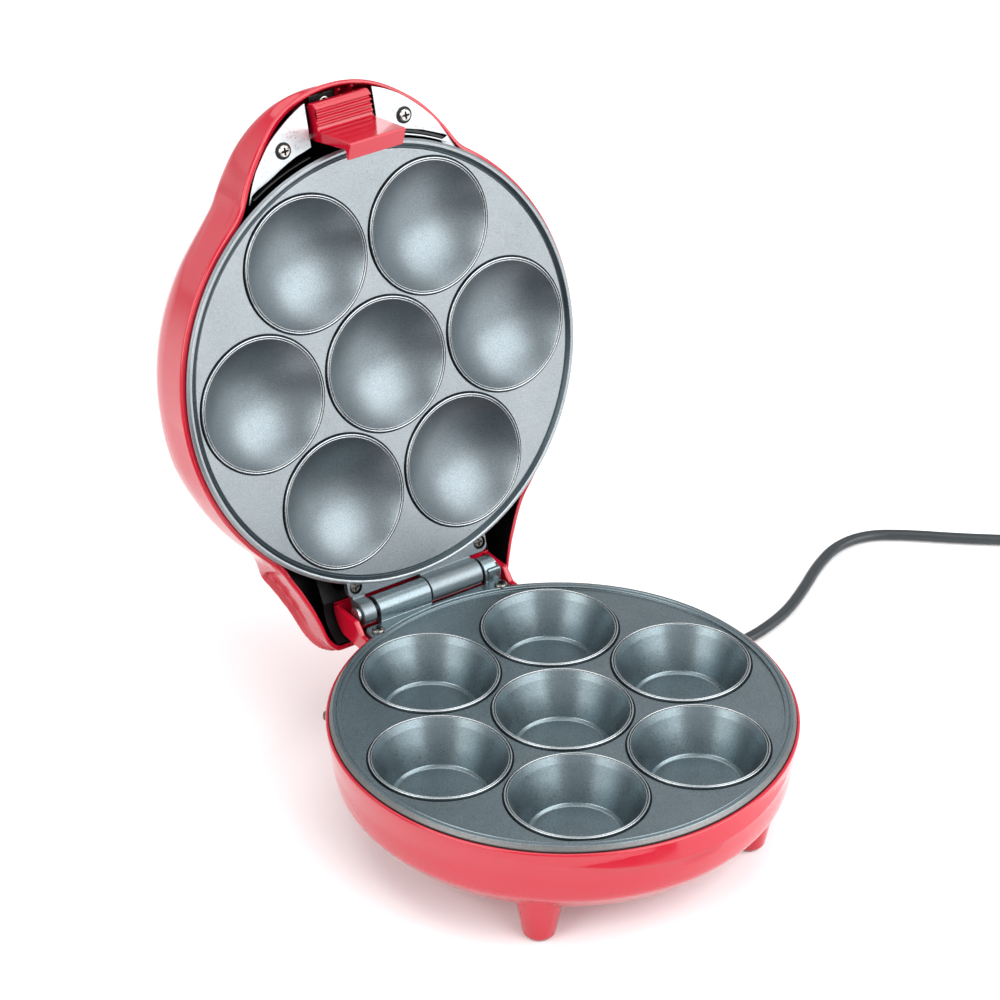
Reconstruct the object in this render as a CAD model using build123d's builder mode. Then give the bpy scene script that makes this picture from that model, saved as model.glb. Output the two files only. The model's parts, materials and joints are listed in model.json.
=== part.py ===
from build123d import *
import math
import os

# Cupcake maker, lid open. Millimetres, +Z up, standing on z = 0, front at -Y.
# The origin is under the middle of the open object's box; the cooking axis
# (centre of the round body) stands at y = BODY_Y.
# Lid pieces are drawn in the lid's own closed coordinates, on planes that are
# swung open about the hinge axis.

# ---------------------------------------------------------------- dimensions
BODY_Y = -51.48            # y of the round body's axis
OPEN_DEG = 104.24          # lid angle between closed and open
HINGE_Y = 111.0            # hinge axis behind the body axis
HINGE_Z = 63.0             # hinge axis above the table

CUP_PITCH = 66.0           # centre cup to outer cups
CUP_ANGLES = [0, 60, 120, 180, 240, 300]
PLATE_R = 104.0            # lower plate rim
PLATE_TOP = 60.0
FIELD_TOP = 59.0
FIELD_BOTTOM = 56.0
RIM_BOTTOM = 55.0
RING_R = 31.4              # raised ring around each cup

UPPER_RING_Z = 66.0        # closed height of the upper plate's rings
UPPER_FIELD_Z = 67.0
UPPER_BACK_Z = 70.0
DOME_APEX_Z = 79.5

BARREL_R = 6.25            # hinge knuckles
PIN_R = 2.2
LOWER_KNUCKLES = [(-28.7, -0.3), (29.5, 37.0)]
UPPER_KNUCKLES = [(-37.0, -29.5), (0.3, 28.7)]

SHELL_WALL = 2.6
BASE_RIM_Z = 57.4
LID_RIM_Z = 69.2
BUMP_RIM = [(59.0, -87.0), (52.5, -98.4), (47.9, -107.6), (43.8, -112.0),
            (39.2, -116.1), (33.8, -120.2), (27.3, -124.0), (20.1, -127.7),
            (14.3, -130.2), (7.3, -132.3), (0.0, -133.0)]
HOOD_RIM = [(84.0, 62.0), (75.4, 72.6), (67.1, 84.9), (61.1, 95.8),
            (56.1, 106.6), (52.9, 115.5), (50.4, 124.4)]
HOOD_R = 19.4              # hood roof around the hinge axis
HOOD_REAR_Y = 129.0
HOOD_RIM_Z = 71.4

GUARD_X = 41.5             # hinge guard of the base, outer half width
GUARD_R = 14.6

LATCH_W = 29.5
LATCH_PIVOT = (-110.5, 77.0)

LEG_FRONT = (57.6, -64.6)
LEG_REAR = (42.0, 86.0)

ELEMENT_R = 3.25
CORD_R = 2.8
CORD_ANGLE = 25.0          # where the cord leaves the base, from +X
CORD_TILT = 20.0           # the gland points this much down
CORD_WALL_R = 100.9
CORD_WALL_Z = 28.5
GLAND_LEN = 24.0

os.makedirs("parts", exist_ok=True)

# ------------------------------------------------------------------- frames
SIN_O = math.sin(math.radians(OPEN_DEG))
COS_O = math.cos(math.radians(OPEN_DEG))


def base_xy(z):
    return Plane(origin=(0, BODY_Y, z), x_dir=(1, 0, 0), z_dir=(0, 0, 1))


def base_xz(y=0.0):
    return Plane(origin=(0, BODY_Y + y, 0), x_dir=(1, 0, 0), z_dir=(0, -1, 0))


def base_yz(x=0.0):
    return Plane(origin=(x, BODY_Y, 0), x_dir=(0, 1, 0), z_dir=(1, 0, 0))


def base_point(x, y, z):
    return Vector(x, BODY_Y + y, z)


def lid_point(x, y, z):
    dy, dz = y - HINGE_Y, z - HINGE_Z
    return Vector(
        x,
        BODY_Y + HINGE_Y + dy * COS_O + dz * SIN_O,
        HINGE_Z - dy * SIN_O + dz * COS_O,
    )


def lid_xy(z):
    return Plane(origin=lid_point(0, 0, z), x_dir=(1, 0, 0), z_dir=(0, SIN_O, COS_O))


def lid_xz(y=0.0):
    return Plane(origin=lid_point(0, y, 0), x_dir=(1, 0, 0), z_dir=(0, -COS_O, SIN_O))


def lid_yz(x=0.0):
    return Plane(origin=lid_point(x, 0, 0), x_dir=(0, COS_O, -SIN_O), z_dir=(1, 0, 0))


def around(cx, cy):
    """Lower and upper plate features at the seven cup centres."""
    points = [(cx, cy)]
    for a in CUP_ANGLES:
        points.append((CUP_PITCH * math.cos(math.radians(a)), CUP_PITCH * math.sin(math.radians(a))))
    return points


CUPS = around(0, 0)
BASE_AXIS = Axis(origin=(0, BODY_Y, 0), direction=(0, 0, 1))
LID_AXIS = Axis(origin=tuple(lid_point(0, 0, 0)), direction=(0, SIN_O, COS_O))
NOTCH = CUP_PITCH / math.sqrt(3.0)      # the places between three cups
CLAMP_ANGLES = [90, 210, 330]


def polar(r, a):
    return (r * math.cos(math.radians(a)), r * math.sin(math.radians(a)))


# ------------------------------------------------------------- lower plate
# One cup's outer wall and inner cut, drawn at the body axis and repeated.
with BuildPart() as cup_wall:
    with BuildSketch(base_xz()):
        with BuildLine():
            Polyline((0, 36.8), (22.0, 36.8), (23.4, 38.6), (30.8, 56.0),
                     (RING_R, 56.0), (RING_R, PLATE_TOP), (0, PLATE_TOP), (0, 36.8))
        make_face()
    revolve(axis=BASE_AXIS)

with BuildPart() as cup_cut:
    with BuildSketch(base_xz()):
        with BuildLine():
            Polyline((0, 39.0), (20.7, 39.0), (21.2, 39.6), (28.6, 56.7),
                     (30.0, 59.6), (30.35, PLATE_TOP), (30.35, 62.0), (0, 62.0), (0, 39.0))
        make_face()
        # thin groove between the ring's two beads
        with Locations((30.95, PLATE_TOP)):
            Rectangle(0.3, 0.8)
    revolve(axis=BASE_AXIS)

with BuildPart() as lower_plate:
    with BuildSketch(base_xz()):
        with BuildLine():
            Polyline((0, FIELD_BOTTOM), (98.6, FIELD_BOTTOM), (98.6, RIM_BOTTOM), (103.2, RIM_BOTTOM),
                     (PLATE_R, 59.6), (103.6, PLATE_TOP), (99.9, PLATE_TOP), (99.4, FIELD_TOP),
                     (0, FIELD_TOP), (0, FIELD_BOTTOM))
        make_face()
    revolve(axis=BASE_AXIS)
    for cx, cy in CUPS:
        add(cup_wall.part.moved(Location((cx, cy, 0))))
    # hinge tab and the two lower knuckles
    with BuildSketch(base_xy(RIM_BOTTOM)):
        with Locations((0, 98.4)):
            Rectangle(77.0, 11.6)
        Circle(101.6, mode=Mode.SUBTRACT)
    extrude(amount=4.5)
    for x0, x1 in LOWER_KNUCKLES:
        with BuildSketch(base_yz(x0)):
            with Locations((105.6, 58.6)):
                Rectangle(10.8, 3.6)
            with Locations((HINGE_Y, HINGE_Z)):
                Circle(BARREL_R)
        extrude(amount=x1 - x0)
    # bosses for the element clamps
    with BuildSketch(base_xy(30.2)):
        with Locations(*[polar(NOTCH, a) for a in CLAMP_ANGLES]):
            Circle(4.5)
    extrude(amount=FIELD_BOTTOM - 30.2 + 0.5)
    for cx, cy in CUPS:
        add(cup_cut.part.moved(Location((cx, cy, 0))), mode=Mode.SUBTRACT)
    with BuildSketch(base_xy(30.2)):
        with Locations(*[polar(NOTCH, a) for a in CLAMP_ANGLES]):
            Circle(1.95)
    extrude(amount=14.0, mode=Mode.SUBTRACT)
    with BuildSketch(base_yz(-40)):
        with Locations((HINGE_Y, HINGE_Z)):
            Circle(PIN_R + 0.02)
    extrude(amount=80, mode=Mode.SUBTRACT)
    with BuildSketch(base_xy(RIM_BOTTOM - 1)):
        with Locations((34.1, 98.6), (-34.1, 98.6)):
            Circle(1.8)
    extrude(amount=8.0, mode=Mode.SUBTRACT)
    with BuildSketch(base_xy(59.5)):
        with Locations((34.1, 98.6), (-34.1, 98.6)):
            Circle(3.3)
    extrude(amount=3.0, mode=Mode.SUBTRACT)

# ------------------------------------------------------------- upper plate
with BuildPart() as dome_wall:
    with BuildSketch(lid_xz()):
        with BuildLine():
            Line((0, UPPER_RING_Z), (RING_R, UPPER_RING_Z))
            Line((RING_R, UPPER_RING_Z), (RING_R, UPPER_BACK_Z))
            Line((RING_R, UPPER_BACK_Z), (29.9, UPPER_BACK_Z))
            ThreePointArc((29.9, UPPER_BACK_Z), (15.6, 79.01), (2.5, 81.828))
            Polyline((2.5, 81.828), (0, 81.828), (0, UPPER_RING_Z))
        make_face()
    revolve(axis=LID_AXIS)

with BuildPart() as dome_cut:
    with BuildSketch(lid_xz()):
        with BuildLine():
            Polyline((2.5, DOME_APEX_Z - 0.076), (0, DOME_APEX_Z - 0.076), (0, 64.0), (30.35, 64.0))
            Line((30.35, 64.0), (30.35, UPPER_RING_Z))
            Line((30.35, UPPER_RING_Z), (30.0, 66.5))
            ThreePointArc((30.0, 66.5), (15.5, 76.46), (2.5, DOME_APEX_Z - 0.076))
        make_face()
        with Locations((30.95, UPPER_RING_Z)):
            Rectangle(0.3, 0.8)
    revolve(axis=LID_AXIS)


def lid_shift(x, y):
    """A move within the lid's own closed XY plane."""
    v = lid_point(x, y, 0) - lid_point(0, 0, 0)
    return Location(tuple(v))


with BuildPart() as upper_plate:
    with BuildSketch(lid_xz()):
        with BuildLine():
            Polyline((0, UPPER_FIELD_Z), (99.3, UPPER_FIELD_Z), (99.8, UPPER_RING_Z), (103.7, UPPER_RING_Z),
                     (104.1, 66.4), (103.2, 68.6), (101.5, 68.6), (101.5, UPPER_BACK_Z),
                     (0, UPPER_BACK_Z), (0, UPPER_FIELD_Z))
        make_face()
    revolve(axis=LID_AXIS)
    for cx, cy in CUPS:
        add(dome_wall.part.moved(lid_shift(cx, cy)))
    with BuildSketch(lid_xy(UPPER_RING_Z)):
        with Locations((0, 98.4)):
            Rectangle(77.0, 11.6)
        Circle(101.2, mode=Mode.SUBTRACT)
    extrude(amount=4.0)
    for x0, x1 in UPPER_KNUCKLES:
        with BuildSketch(lid_yz(x0)):
            with Locations((105.6, 67.2)):
                Rectangle(10.8, 3.4)
            with Locations((HINGE_Y, HINGE_Z)):
                Circle(BARREL_R)
        extrude(amount=x1 - x0)
    # bosses for the element clamps, behind the plate
    with BuildSketch(lid_xy(UPPER_BACK_Z - 0.5)):
        with Locations(*[polar(NOTCH, a) for a in CLAMP_ANGLES]):
            Circle(4.5)
    extrude(amount=88.8 - UPPER_BACK_Z + 0.5)
    for cx, cy in CUPS:
        add(dome_cut.part.moved(lid_shift(cx, cy)), mode=Mode.SUBTRACT)
    with BuildSketch(lid_xy(74.8)):
        with Locations(*[polar(NOTCH, a) for a in CLAMP_ANGLES]):
            Circle(1.95)
    extrude(amount=14.0, mode=Mode.SUBTRACT)
    with BuildSketch(lid_yz(-40)):
        with Locations((HINGE_Y, HINGE_Z)):
            Circle(PIN_R + 0.06)
    extrude(amount=80, mode=Mode.SUBTRACT)
    # counterbored screw holes in the tab
    with BuildSketch(lid_xy(UPPER_RING_Z - 1)):
        with Locations((34.7, 99.2), (-34.7, 99.2)):
            Circle(1.8)
    extrude(amount=8.0, mode=Mode.SUBTRACT)
    with BuildSketch(lid_xy(UPPER_RING_Z - 1)):
        with Locations((34.7, 99.2), (-34.7, 99.2)):
            Circle(3.5)
    extrude(amount=3.0, mode=Mode.SUBTRACT)

# -------------------------------------------------------------- base shell
LEGS = [(LEG_FRONT[0], LEG_FRONT[1]), (-LEG_FRONT[0], LEG_FRONT[1]),
        (LEG_REAR[0], LEG_REAR[1]), (-LEG_REAR[0], LEG_REAR[1])]

with BuildPart() as visor:
    with BuildSketch(Plane(origin=(0, BODY_Y - 9.43, 0), x_dir=(1, 0, 0), z_dir=(0, -1, 0))):
        with BuildLine():
            Polyline((0, 44.0), (99.2, 44.0), (96.77, BASE_RIM_Z), (0, BASE_RIM_Z), (0, 44.0))
        make_face()
    revolve(axis=Axis(origin=(0, BODY_Y - 9.43, 0), direction=(0, 0, 1)))
    with BuildSketch(base_xz(-60)):
        with BuildLine():
            ThreePointArc((-85, 54.4), (0, 48.0), (85, 54.4))
            Polyline((85, 54.4), (85, 60), (-85, 60), (-85, 54.4))
        make_face()
    extrude(amount=60, mode=Mode.INTERSECT)

EXIT_DIR = Vector(
    math.cos(math.radians(CORD_TILT)) * math.cos(math.radians(CORD_ANGLE)),
    math.cos(math.radians(CORD_TILT)) * math.sin(math.radians(CORD_ANGLE)),
    -math.sin(math.radians(CORD_TILT)),
)
EXIT_WALL = base_point(*polar(CORD_WALL_R, CORD_ANGLE), CORD_WALL_Z)
GLAND_SIDE = Vector(-math.sin(math.radians(CORD_ANGLE)), math.cos(math.radians(CORD_ANGLE)), 0)


def gland_plane(s):
    """Square to the cord's way out, s mm outside the wall."""
    return Plane(origin=EXIT_WALL + EXIT_DIR * s, x_dir=GLAND_SIDE, z_dir=EXIT_DIR)


LENS_ANGLE = 144.0
LENS_Z = 53.4
LENS_DIR = Vector(math.cos(math.radians(LENS_ANGLE)), math.sin(math.radians(LENS_ANGLE)), 0)


def lens_plane(r):
    return Plane(origin=base_point(*polar(r, LENS_ANGLE), LENS_Z), x_dir=(0, 0, 1), z_dir=LENS_DIR)


with BuildPart() as base_shell:
    with BuildSketch(base_xz()):
        with BuildLine():
            Polyline((0, 20.0), (92.8, 20.0), (94.7, 21.5), (97.9, 25.0), (101.9, 30.0), (103.4, 36.0),
                     (104.2, 44.0), (105.6, 52.0), (106.2, BASE_RIM_Z), (0, BASE_RIM_Z), (0, 20.0))
        make_face()
    revolve(axis=BASE_AXIS)
    add(visor.part)
    # legs
    for x, y in LEGS:
        with BuildSketch(base_xy(1.2)):
            with Locations((x, y)):
                Circle(7.5)
        with BuildSketch(base_xy(20.6)):
            with Locations((x, y)):
                Circle(11.0)
        loft()
    # rear legs run up into the slope of the body
    with BuildSketch(base_xy(20.5)):
        with Locations(LEGS[2], LEGS[3]):
            Circle(11.0)
    extrude(amount=12.0)
    # hinge guard: two ears and a rear wall around the hinge axis
    with BuildSketch(base_yz(-GUARD_X)):
        with BuildLine():
            Polyline((95.0, 49.3), (105.98, 49.29))
            ThreePointArc((105.98, 49.29), (HINGE_Y + GUARD_R * math.cos(math.radians(-50)), HINGE_Z + GUARD_R * math.sin(math.radians(-50))),
                          (HINGE_Y + math.sqrt(GUARD_R ** 2 - 0.25), 62.5))
            Polyline((HINGE_Y + math.sqrt(GUARD_R ** 2 - 0.25), 62.5), (106.7, 62.5), (101.5, 57.3), (95.0, 57.3), (95.0, 49.3))
        make_face()
    extrude(amount=2 * GUARD_X)
    # the cavity, with the ledge that carries the plate
    with BuildSketch(base_xz()):
        with BuildLine():
            Polyline((0, 23.0), (91.6, 23.0), (95.6, 27.2), (99.2, 31.6), (100.7, 36.4), (101.6, 44.0),
                     (101.6, RIM_BOTTOM), (104.4, RIM_BOTTOM), (104.4, 61.0), (0, 61.0), (0, 23.0))
        make_face()
    revolve(axis=BASE_AXIS, mode=Mode.SUBTRACT)
    # catch pocket under the visor
    with BuildSketch(base_xy(41.0)):
        with Locations((0, -106.6)):
            Rectangle(34.0, 6.0)
    extrude(amount=7.0, mode=Mode.SUBTRACT)
    # bosses for the plate's tab screws
    with BuildSketch(base_xy(49.3)):
        with Locations((34.1, 98.6), (-34.1, 98.6)):
            Circle(4.3)
    extrude(amount=RIM_BOTTOM - 49.3)
    # room for the tab, and for the knuckles behind it
    with BuildSketch(base_xy(RIM_BOTTOM)):
        with Locations((0, 99.7)):
            Rectangle(78.0, 9.6)
    extrude(amount=12.0, mode=Mode.SUBTRACT)
    with BuildSketch(base_yz(-39.0)):
        with BuildLine():
            Polyline((104.0, 53.01), (104.0, 70.0), (123.2, 70.0), (123.2, 63.0))
            ThreePointArc((123.2, 63.0), (HINGE_Y + 12.2 * math.cos(math.radians(-60)), HINGE_Z + 12.2 * math.sin(math.radians(-60))), (104.0, 53.01))
        make_face()
    extrude(amount=78.0, mode=Mode.SUBTRACT)
    with BuildSketch(base_xy(49.8)):
        with Locations((34.1, 98.6), (-34.1, 98.6)):
            Circle(1.5)
    extrude(amount=8.0, mode=Mode.SUBTRACT)
    # cord hole
    with BuildSketch(gland_plane(-14)):
        Circle(5.0)
    extrude(amount=24.0, mode=Mode.SUBTRACT)
    # lens hole in the wall
    with BuildSketch(lens_plane(99.0)):
        Circle(1.0)
    extrude(amount=10.0, mode=Mode.SUBTRACT)
    with BuildSketch(lens_plane(104.6)):
        Circle(2.2)
    extrude(amount=6.0, mode=Mode.SUBTRACT)
    # pad recesses under the legs
    with BuildSketch(base_xy(0.5)):
        with Locations(*LEGS):
            Circle(6.3)
    extrude(amount=1.7, mode=Mode.SUBTRACT)

with BuildPart() as foot_pads:
    with BuildSketch(base_xy(0)):
        with Locations(*LEGS):
            Circle(6.2)
    extrude(amount=2.2)
    chamfer(foot_pads.faces().sort_by(Axis.Z)[:4].edges(), 0.4)

# ------------------------------------------------------------ base screws
with BuildPart() as lower_plate_screws:
    for x in (-34.1, 34.1):
        with BuildSketch(base_xy(59.5)):
            with Locations((x, 98.6)):
                Circle(3.0)
        extrude(amount=1.9)
        with BuildSketch(base_xy(50.5)):
            with Locations((x, 98.6)):
                Circle(1.45)
        extrude(amount=9.2)
        # cross recess
        with BuildSketch(base_xy(60.4)):
            with Locations((x, 98.6)):
                Rectangle(3.2, 0.8)
                Rectangle(0.8, 3.2)
        extrude(amount=2.0, mode=Mode.SUBTRACT)
    chamfer(lower_plate_screws.faces().sort_by(Axis.Z)[-2:].edges().filter_by(GeomType.CIRCLE), 0.5)

# --------------------------------------------------------------- hinge pin
with BuildPart() as hinge_pin:
    with BuildSketch(base_yz(-38.6)):
        with Locations((HINGE_Y, HINGE_Z)):
            Circle(3.6)
    extrude(amount=1.4)
    with BuildSketch(base_yz(-38.0)):
        with Locations((HINGE_Y, HINGE_Z)):
            Circle(PIN_R)
    extrude(amount=76.6)

with BuildPart() as hinge_clip:
    with BuildSketch(base_yz(37.2)):
        with Locations((HINGE_Y, HINGE_Z)):
            Circle(4.2)
            Circle(PIN_R + 0.02, mode=Mode.SUBTRACT)
    extrude(amount=0.8)

# ------------------------------------------------------- base inner pieces
def ring_element(points_r, z, plane_xz, axis, gap_deg):
    """A round tubular element, open at the rear for its two cold ends."""
    with BuildPart() as ring:
        with BuildSketch(plane_xz):
            with Locations((points_r, z)):
                Circle(ELEMENT_R)
        revolve(axis=axis, revolution_arc=360 - gap_deg)
    return ring.part


with BuildPart() as lower_heater:
    add(ring_element(52.0, 33.5, base_xz(), BASE_AXIS, 20))

with BuildPart() as lower_element_clamps:
    for a in CLAMP_ANGLES:
        with BuildSketch(base_xy(29.2)):
            with Locations(polar(46.5, a)):
                Rectangle(27.0, 9.0, rotation=a)
            with Locations(polar(NOTCH, a)):
                Circle(2.1, mode=Mode.SUBTRACT)
        extrude(amount=0.95)

with BuildPart() as lower_heat_shield:
    with BuildSketch(base_xz()):
        with BuildLine():
            Polyline((0, 28.3), (72.0, 28.3), (74.6, 30.6), (75.4, 30.0), (72.4, 27.5), (0, 27.5), (0, 28.3))
        make_face()
    revolve(axis=BASE_AXIS)
    with BuildSketch(base_xy(27.0)):
        with Locations(*[polar(NOTCH, a) for a in CLAMP_ANGLES]):
            Circle(2.1)
    extrude(amount=2.0, mode=Mode.SUBTRACT)

with BuildPart() as lower_clamp_screws:
    for a in CLAMP_ANGLES:
        with BuildSketch(base_xy(25.4)):
            with Locations(polar(NOTCH, a)):
                Circle(3.5)
        extrude(amount=2.05)
        with BuildSketch(base_xy(27.0)):
            with Locations(polar(NOTCH, a)):
                Circle(1.9)
        extrude(amount=15.0)

with BuildPart() as shield_spacers:
    for a in CLAMP_ANGLES:
        with BuildSketch(base_xy(28.35)):
            with Locations(polar(NOTCH, a)):
                Circle(3.6)
                Circle(2.1, mode=Mode.SUBTRACT)
        extrude(amount=0.8)

with BuildPart() as thermostat:
    with BuildSketch(base_xy(48.0)):
        with Locations(polar(NOTCH, 30)):
            Circle(6.4)
    extrude(amount=7.95)
    with BuildSketch(base_xy(42.0)):
        with Locations(*[(polar(NOTCH, 30)[0] + dx, polar(NOTCH, 30)[1]) for dx in (-3.0, 3.0)]):
            Rectangle(0.8, 4.0)
    extrude(amount=6.5)

with BuildPart() as thermal_fuse:
    with BuildSketch(Plane(origin=base_point(polar(NOTCH, 150)[0] - 5.5, polar(NOTCH, 150)[1], 53.4), x_dir=(0, 1, 0), z_dir=(1, 0, 0))):
        Circle(2.2)
    extrude(amount=11.0)

TB = polar(81.0, 42.0)
with BuildPart() as terminal_block:
    with BuildSketch(base_xy(23.05)):
        with Locations(TB):
            Rectangle(9.0, 24.0, rotation=42.0)
    extrude(amount=9.0)
    with BuildSketch(Plane(origin=base_point(*polar(87.0, 42.0), 27.6), x_dir=(0, 0, 1), z_dir=(-math.cos(math.radians(42)), -math.sin(math.radians(42)), 0))):
        with Locations((0, -7.5), (0, 0), (0, 7.5)):
            Circle(1.6)
    extrude(amount=14.0, mode=Mode.SUBTRACT)

with BuildPart() as base_leads:
    # three sleeved leads from the terminal block towards the element and thermostat
    for k, (a1, rr) in enumerate(((62.0, 81.0), (70.0, 84.5), (78.0, 88.0))):
        with BuildSketch(Plane(origin=base_point(*polar(rr, 56.0), 25.0), x_dir=(0, 0, 1),
                               z_dir=(-math.sin(math.radians(56.0)), math.cos(math.radians(56.0)), 0))):
            Circle(1.2)
        revolve(axis=BASE_AXIS, revolution_arc=a1 - 40)

with BuildPart() as pilot_lens:
    with BuildSketch(lens_plane(104.65)):
        Circle(2.15)
    extrude(amount=2.0)
    with BuildSketch(lens_plane(101.8)):
        Circle(0.95)
    extrude(amount=3.2)
    with BuildSketch(lens_plane(106.6)):
        Circle(2.15)
    extrude(amount=0.8, taper=40)

with BuildPart() as neon_lamp:
    with BuildSketch(lens_plane(93.0)):
        Circle(1.5)
    extrude(amount=8.2)

# ------------------------------------------------------ cord, gland, plug
with BuildPart() as cord_gland:
    with BuildSketch(gland_plane(-9.0)):
        Circle(5.4)
    extrude(amount=2.2)
    with BuildSketch(gland_plane(-7.0)):
        Circle(4.95)
    extrude(amount=11.0)
    with BuildSketch(gland_plane(4.0)):
        Circle(4.95)
    with BuildSketch(gland_plane(GLAND_LEN)):
        Circle(3.5)
    loft()

GLAND_TIP = EXIT_WALL + EXIT_DIR * GLAND_LEN

COIL_X, COIL_Y = 371.0, 60.0
COIL_R = 33.0
ROUTE = [
    (GLAND_TIP.X, GLAND_TIP.Y - BODY_Y, GLAND_TIP.Z),
    (GLAND_TIP.X + EXIT_DIR.X * 11.0, GLAND_TIP.Y - BODY_Y + EXIT_DIR.Y * 11.0, GLAND_TIP.Z + EXIT_DIR.Z * 11.0),
    (133.5, 61.0, 8.0),
    (146.5, 63.0, 3.1),
    (164.0, 65.0, 2.9),
    (186.0, 71.9, 2.9),
    (205.5, 83.3, 2.9),
    (224.0, 96.0, 2.9),
    (243.5, 105.4, 2.9),
    (262.5, 105.2, 2.9),
    (279.5, 94.0, 2.9),
    (299.0, 76.6, 2.9),
    (324.0, 57.0, 2.9),
    (350.0, 34.7, 2.9),
]
ROUTE_W = [Vector(x, BODY_Y + y, z) for x, y, z in ROUTE]
runs = [(ROUTE_W[i + 1] - ROUTE_W[i]).length for i in range(len(ROUTE_W) - 1)]
radii = []
for i in range(1, len(ROUTE_W) - 1):
    turn = (ROUTE_W[i] - ROUTE_W[i - 1]).get_angle(ROUTE_W[i + 1] - ROUTE_W[i])
    radii.append(0.45 * min(runs[i - 1], runs[i]) / math.tan(math.radians(turn / 2)))
print("runs", [round(r, 1) for r in runs])
print("radii", [round(r, 1) for r in radii])

with BuildLine() as cord_path:
    FilletPolyline(*ROUTE_W, radius=radii)
with BuildPart() as power_cord:
    with BuildSketch(Plane(origin=ROUTE_W[0], x_dir=GLAND_SIDE, z_dir=(ROUTE_W[1] - ROUTE_W[0]).normalized())):
        Circle(CORD_R)
    sweep(path=cord_path.wires()[0])
print("cord tube length", round(cord_path.wires()[0].length, 2), "volume", round(power_cord.part.volume, 1),
      "section x length", round(math.pi * CORD_R ** 2 * cord_path.wires()[0].length, 1))

with BuildPart() as cord_coil:
    with BuildSketch(Plane(origin=(COIL_X, BODY_Y + COIL_Y, 0), x_dir=(1, 0, 0), z_dir=(0, -1, 0))):
        with Locations((COIL_R, 6.3)):
            RectangleRounded(13.6, 12.4, 3.0)
    revolve(axis=Axis(origin=(COIL_X, BODY_Y + COIL_Y, 0), direction=(0, 0, 1)))

PLUG_Y0 = 84.0
PLUG_X = 405.0
PLUG_Z = 7.6
with BuildPart() as plug_body:
    with BuildSketch(Plane(origin=(PLUG_X, BODY_Y + PLUG_Y0, PLUG_Z), x_dir=(1, 0, 0), z_dir=(0, 1, 0))):
        RectangleRounded(8.0, 7.0, 3.0)
    with BuildSketch(Plane(origin=(PLUG_X, BODY_Y + PLUG_Y0 + 15.0, PLUG_Z), x_dir=(1, 0, 0), z_dir=(0, 1, 0))):
        RectangleRounded(16.0, 12.0, 3.5)
    with BuildSketch(Plane(origin=(PLUG_X, BODY_Y + PLUG_Y0 + 30.0, PLUG_Z), x_dir=(1, 0, 0), z_dir=(0, 1, 0))):
        RectangleRounded(24.0, 15.0, 3.5)
    loft()

with BuildPart() as plug_blades:
    with BuildSketch(Plane(origin=(PLUG_X, BODY_Y + PLUG_Y0 + 30.0, PLUG_Z), x_dir=(1, 0, 0), z_dir=(0, 1, 0))):
        with Locations((-6.35, 0), (6.35, 0)):
            Rectangle(1.5, 6.3)
    extrude(amount=17.0)

# --------------------------------------------------------------- lid shell
def bump_outline():
    """Plan of the front grip, drawn on the lid's plane, closed inside the body."""
    pts = [(-x, y) for x, y in BUMP_RIM[:-1]] + [BUMP_RIM[-1]] + [(x, y) for x, y in reversed(BUMP_RIM[:-1])]
    return pts


def inset_points(pts, d):
    """Points moved d to the left of the way they run."""
    out = []
    for i, (x, y) in enumerate(pts):
        x0, y0 = pts[max(i - 1, 0)]
        x1, y1 = pts[min(i + 1, len(pts) - 1)]
        n = math.hypot(x1 - x0, y1 - y0)
        out.append((x - (y1 - y0) / n * d, y + (x1 - x0) / n * d))
    return out


def bump_block(inset, drop):
    pts = inset_points(bump_outline(), inset)
    with BuildPart() as block:
        with BuildSketch(lid_xy(LID_RIM_Z if inset == 0 else 60.0)):
            with BuildLine():
                Spline(*pts)
                Polyline(pts[-1], (pts[-1][0], -70.0), (pts[0][0], -70.0), pts[0])
            make_face()
        extrude(amount=60.0)
        with BuildSketch(lid_yz(-80)):
            with BuildLine():
                Polyline((-136.0 + inset * 0.4, 64.0), (-135.0 + inset, 81.5 - drop * 0.3), (-130.0 + inset * 0.6, 88.5 - drop * 0.8),
                         (-120.0, 94.5 - drop), (-108.0, 100.6 - drop), (-97.0, 106.0 - drop), (-88.0, 109.0 - drop),
                         (-68.0, 112.0 - drop), (-68.0, 64.0), (-136.0 + inset * 0.4, 64.0))
            make_face()
        extrude(amount=160.0, mode=Mode.INTERSECT)
    return block.part


def hood_block(inset, bottom):
    left = inset_points([(-x, y) for x, y in reversed(HOOD_RIM)], inset)
    right = [(-x, y) for x, y in reversed(left)]
    rear = HOOD_REAR_Y - inset
    r = HOOD_R - inset
    a_top = math.radians(78)
    with BuildPart() as block:
        with BuildSketch(lid_xy(bottom)):
            with BuildLine():
                Polyline(*right, (46.0 - inset * 0.4, rear), (-46.0 + inset * 0.4, rear), *left, (left[-1][0], 50.0), (right[0][0], 50.0), right[0])
            make_face()
        extrude(amount=60.0)
        with BuildSketch(lid_yz(-90)):
            with BuildLine():
                Polyline((HINGE_Y + r, 55.0), (HINGE_Y + r, HINGE_Z))
                ThreePointArc((HINGE_Y + r, HINGE_Z), (HINGE_Y + r * math.cos(a_top / 2), HINGE_Z + r * math.sin(a_top / 2)),
                              (HINGE_Y + r * math.cos(a_top), HINGE_Z + r * math.sin(a_top)))
                Polyline((HINGE_Y + r * math.cos(a_top), HINGE_Z + r * math.sin(a_top)),
                         (45.0, HINGE_Z + r * math.sin(a_top) + (HINGE_Y + r * math.cos(a_top) - 45.0) * math.tan(math.radians(14.5))),
                         (45.0, 55.0), (HINGE_Y + r, 55.0))
            make_face()
        extrude(amount=180.0, mode=Mode.INTERSECT)
    return block.part


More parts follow.
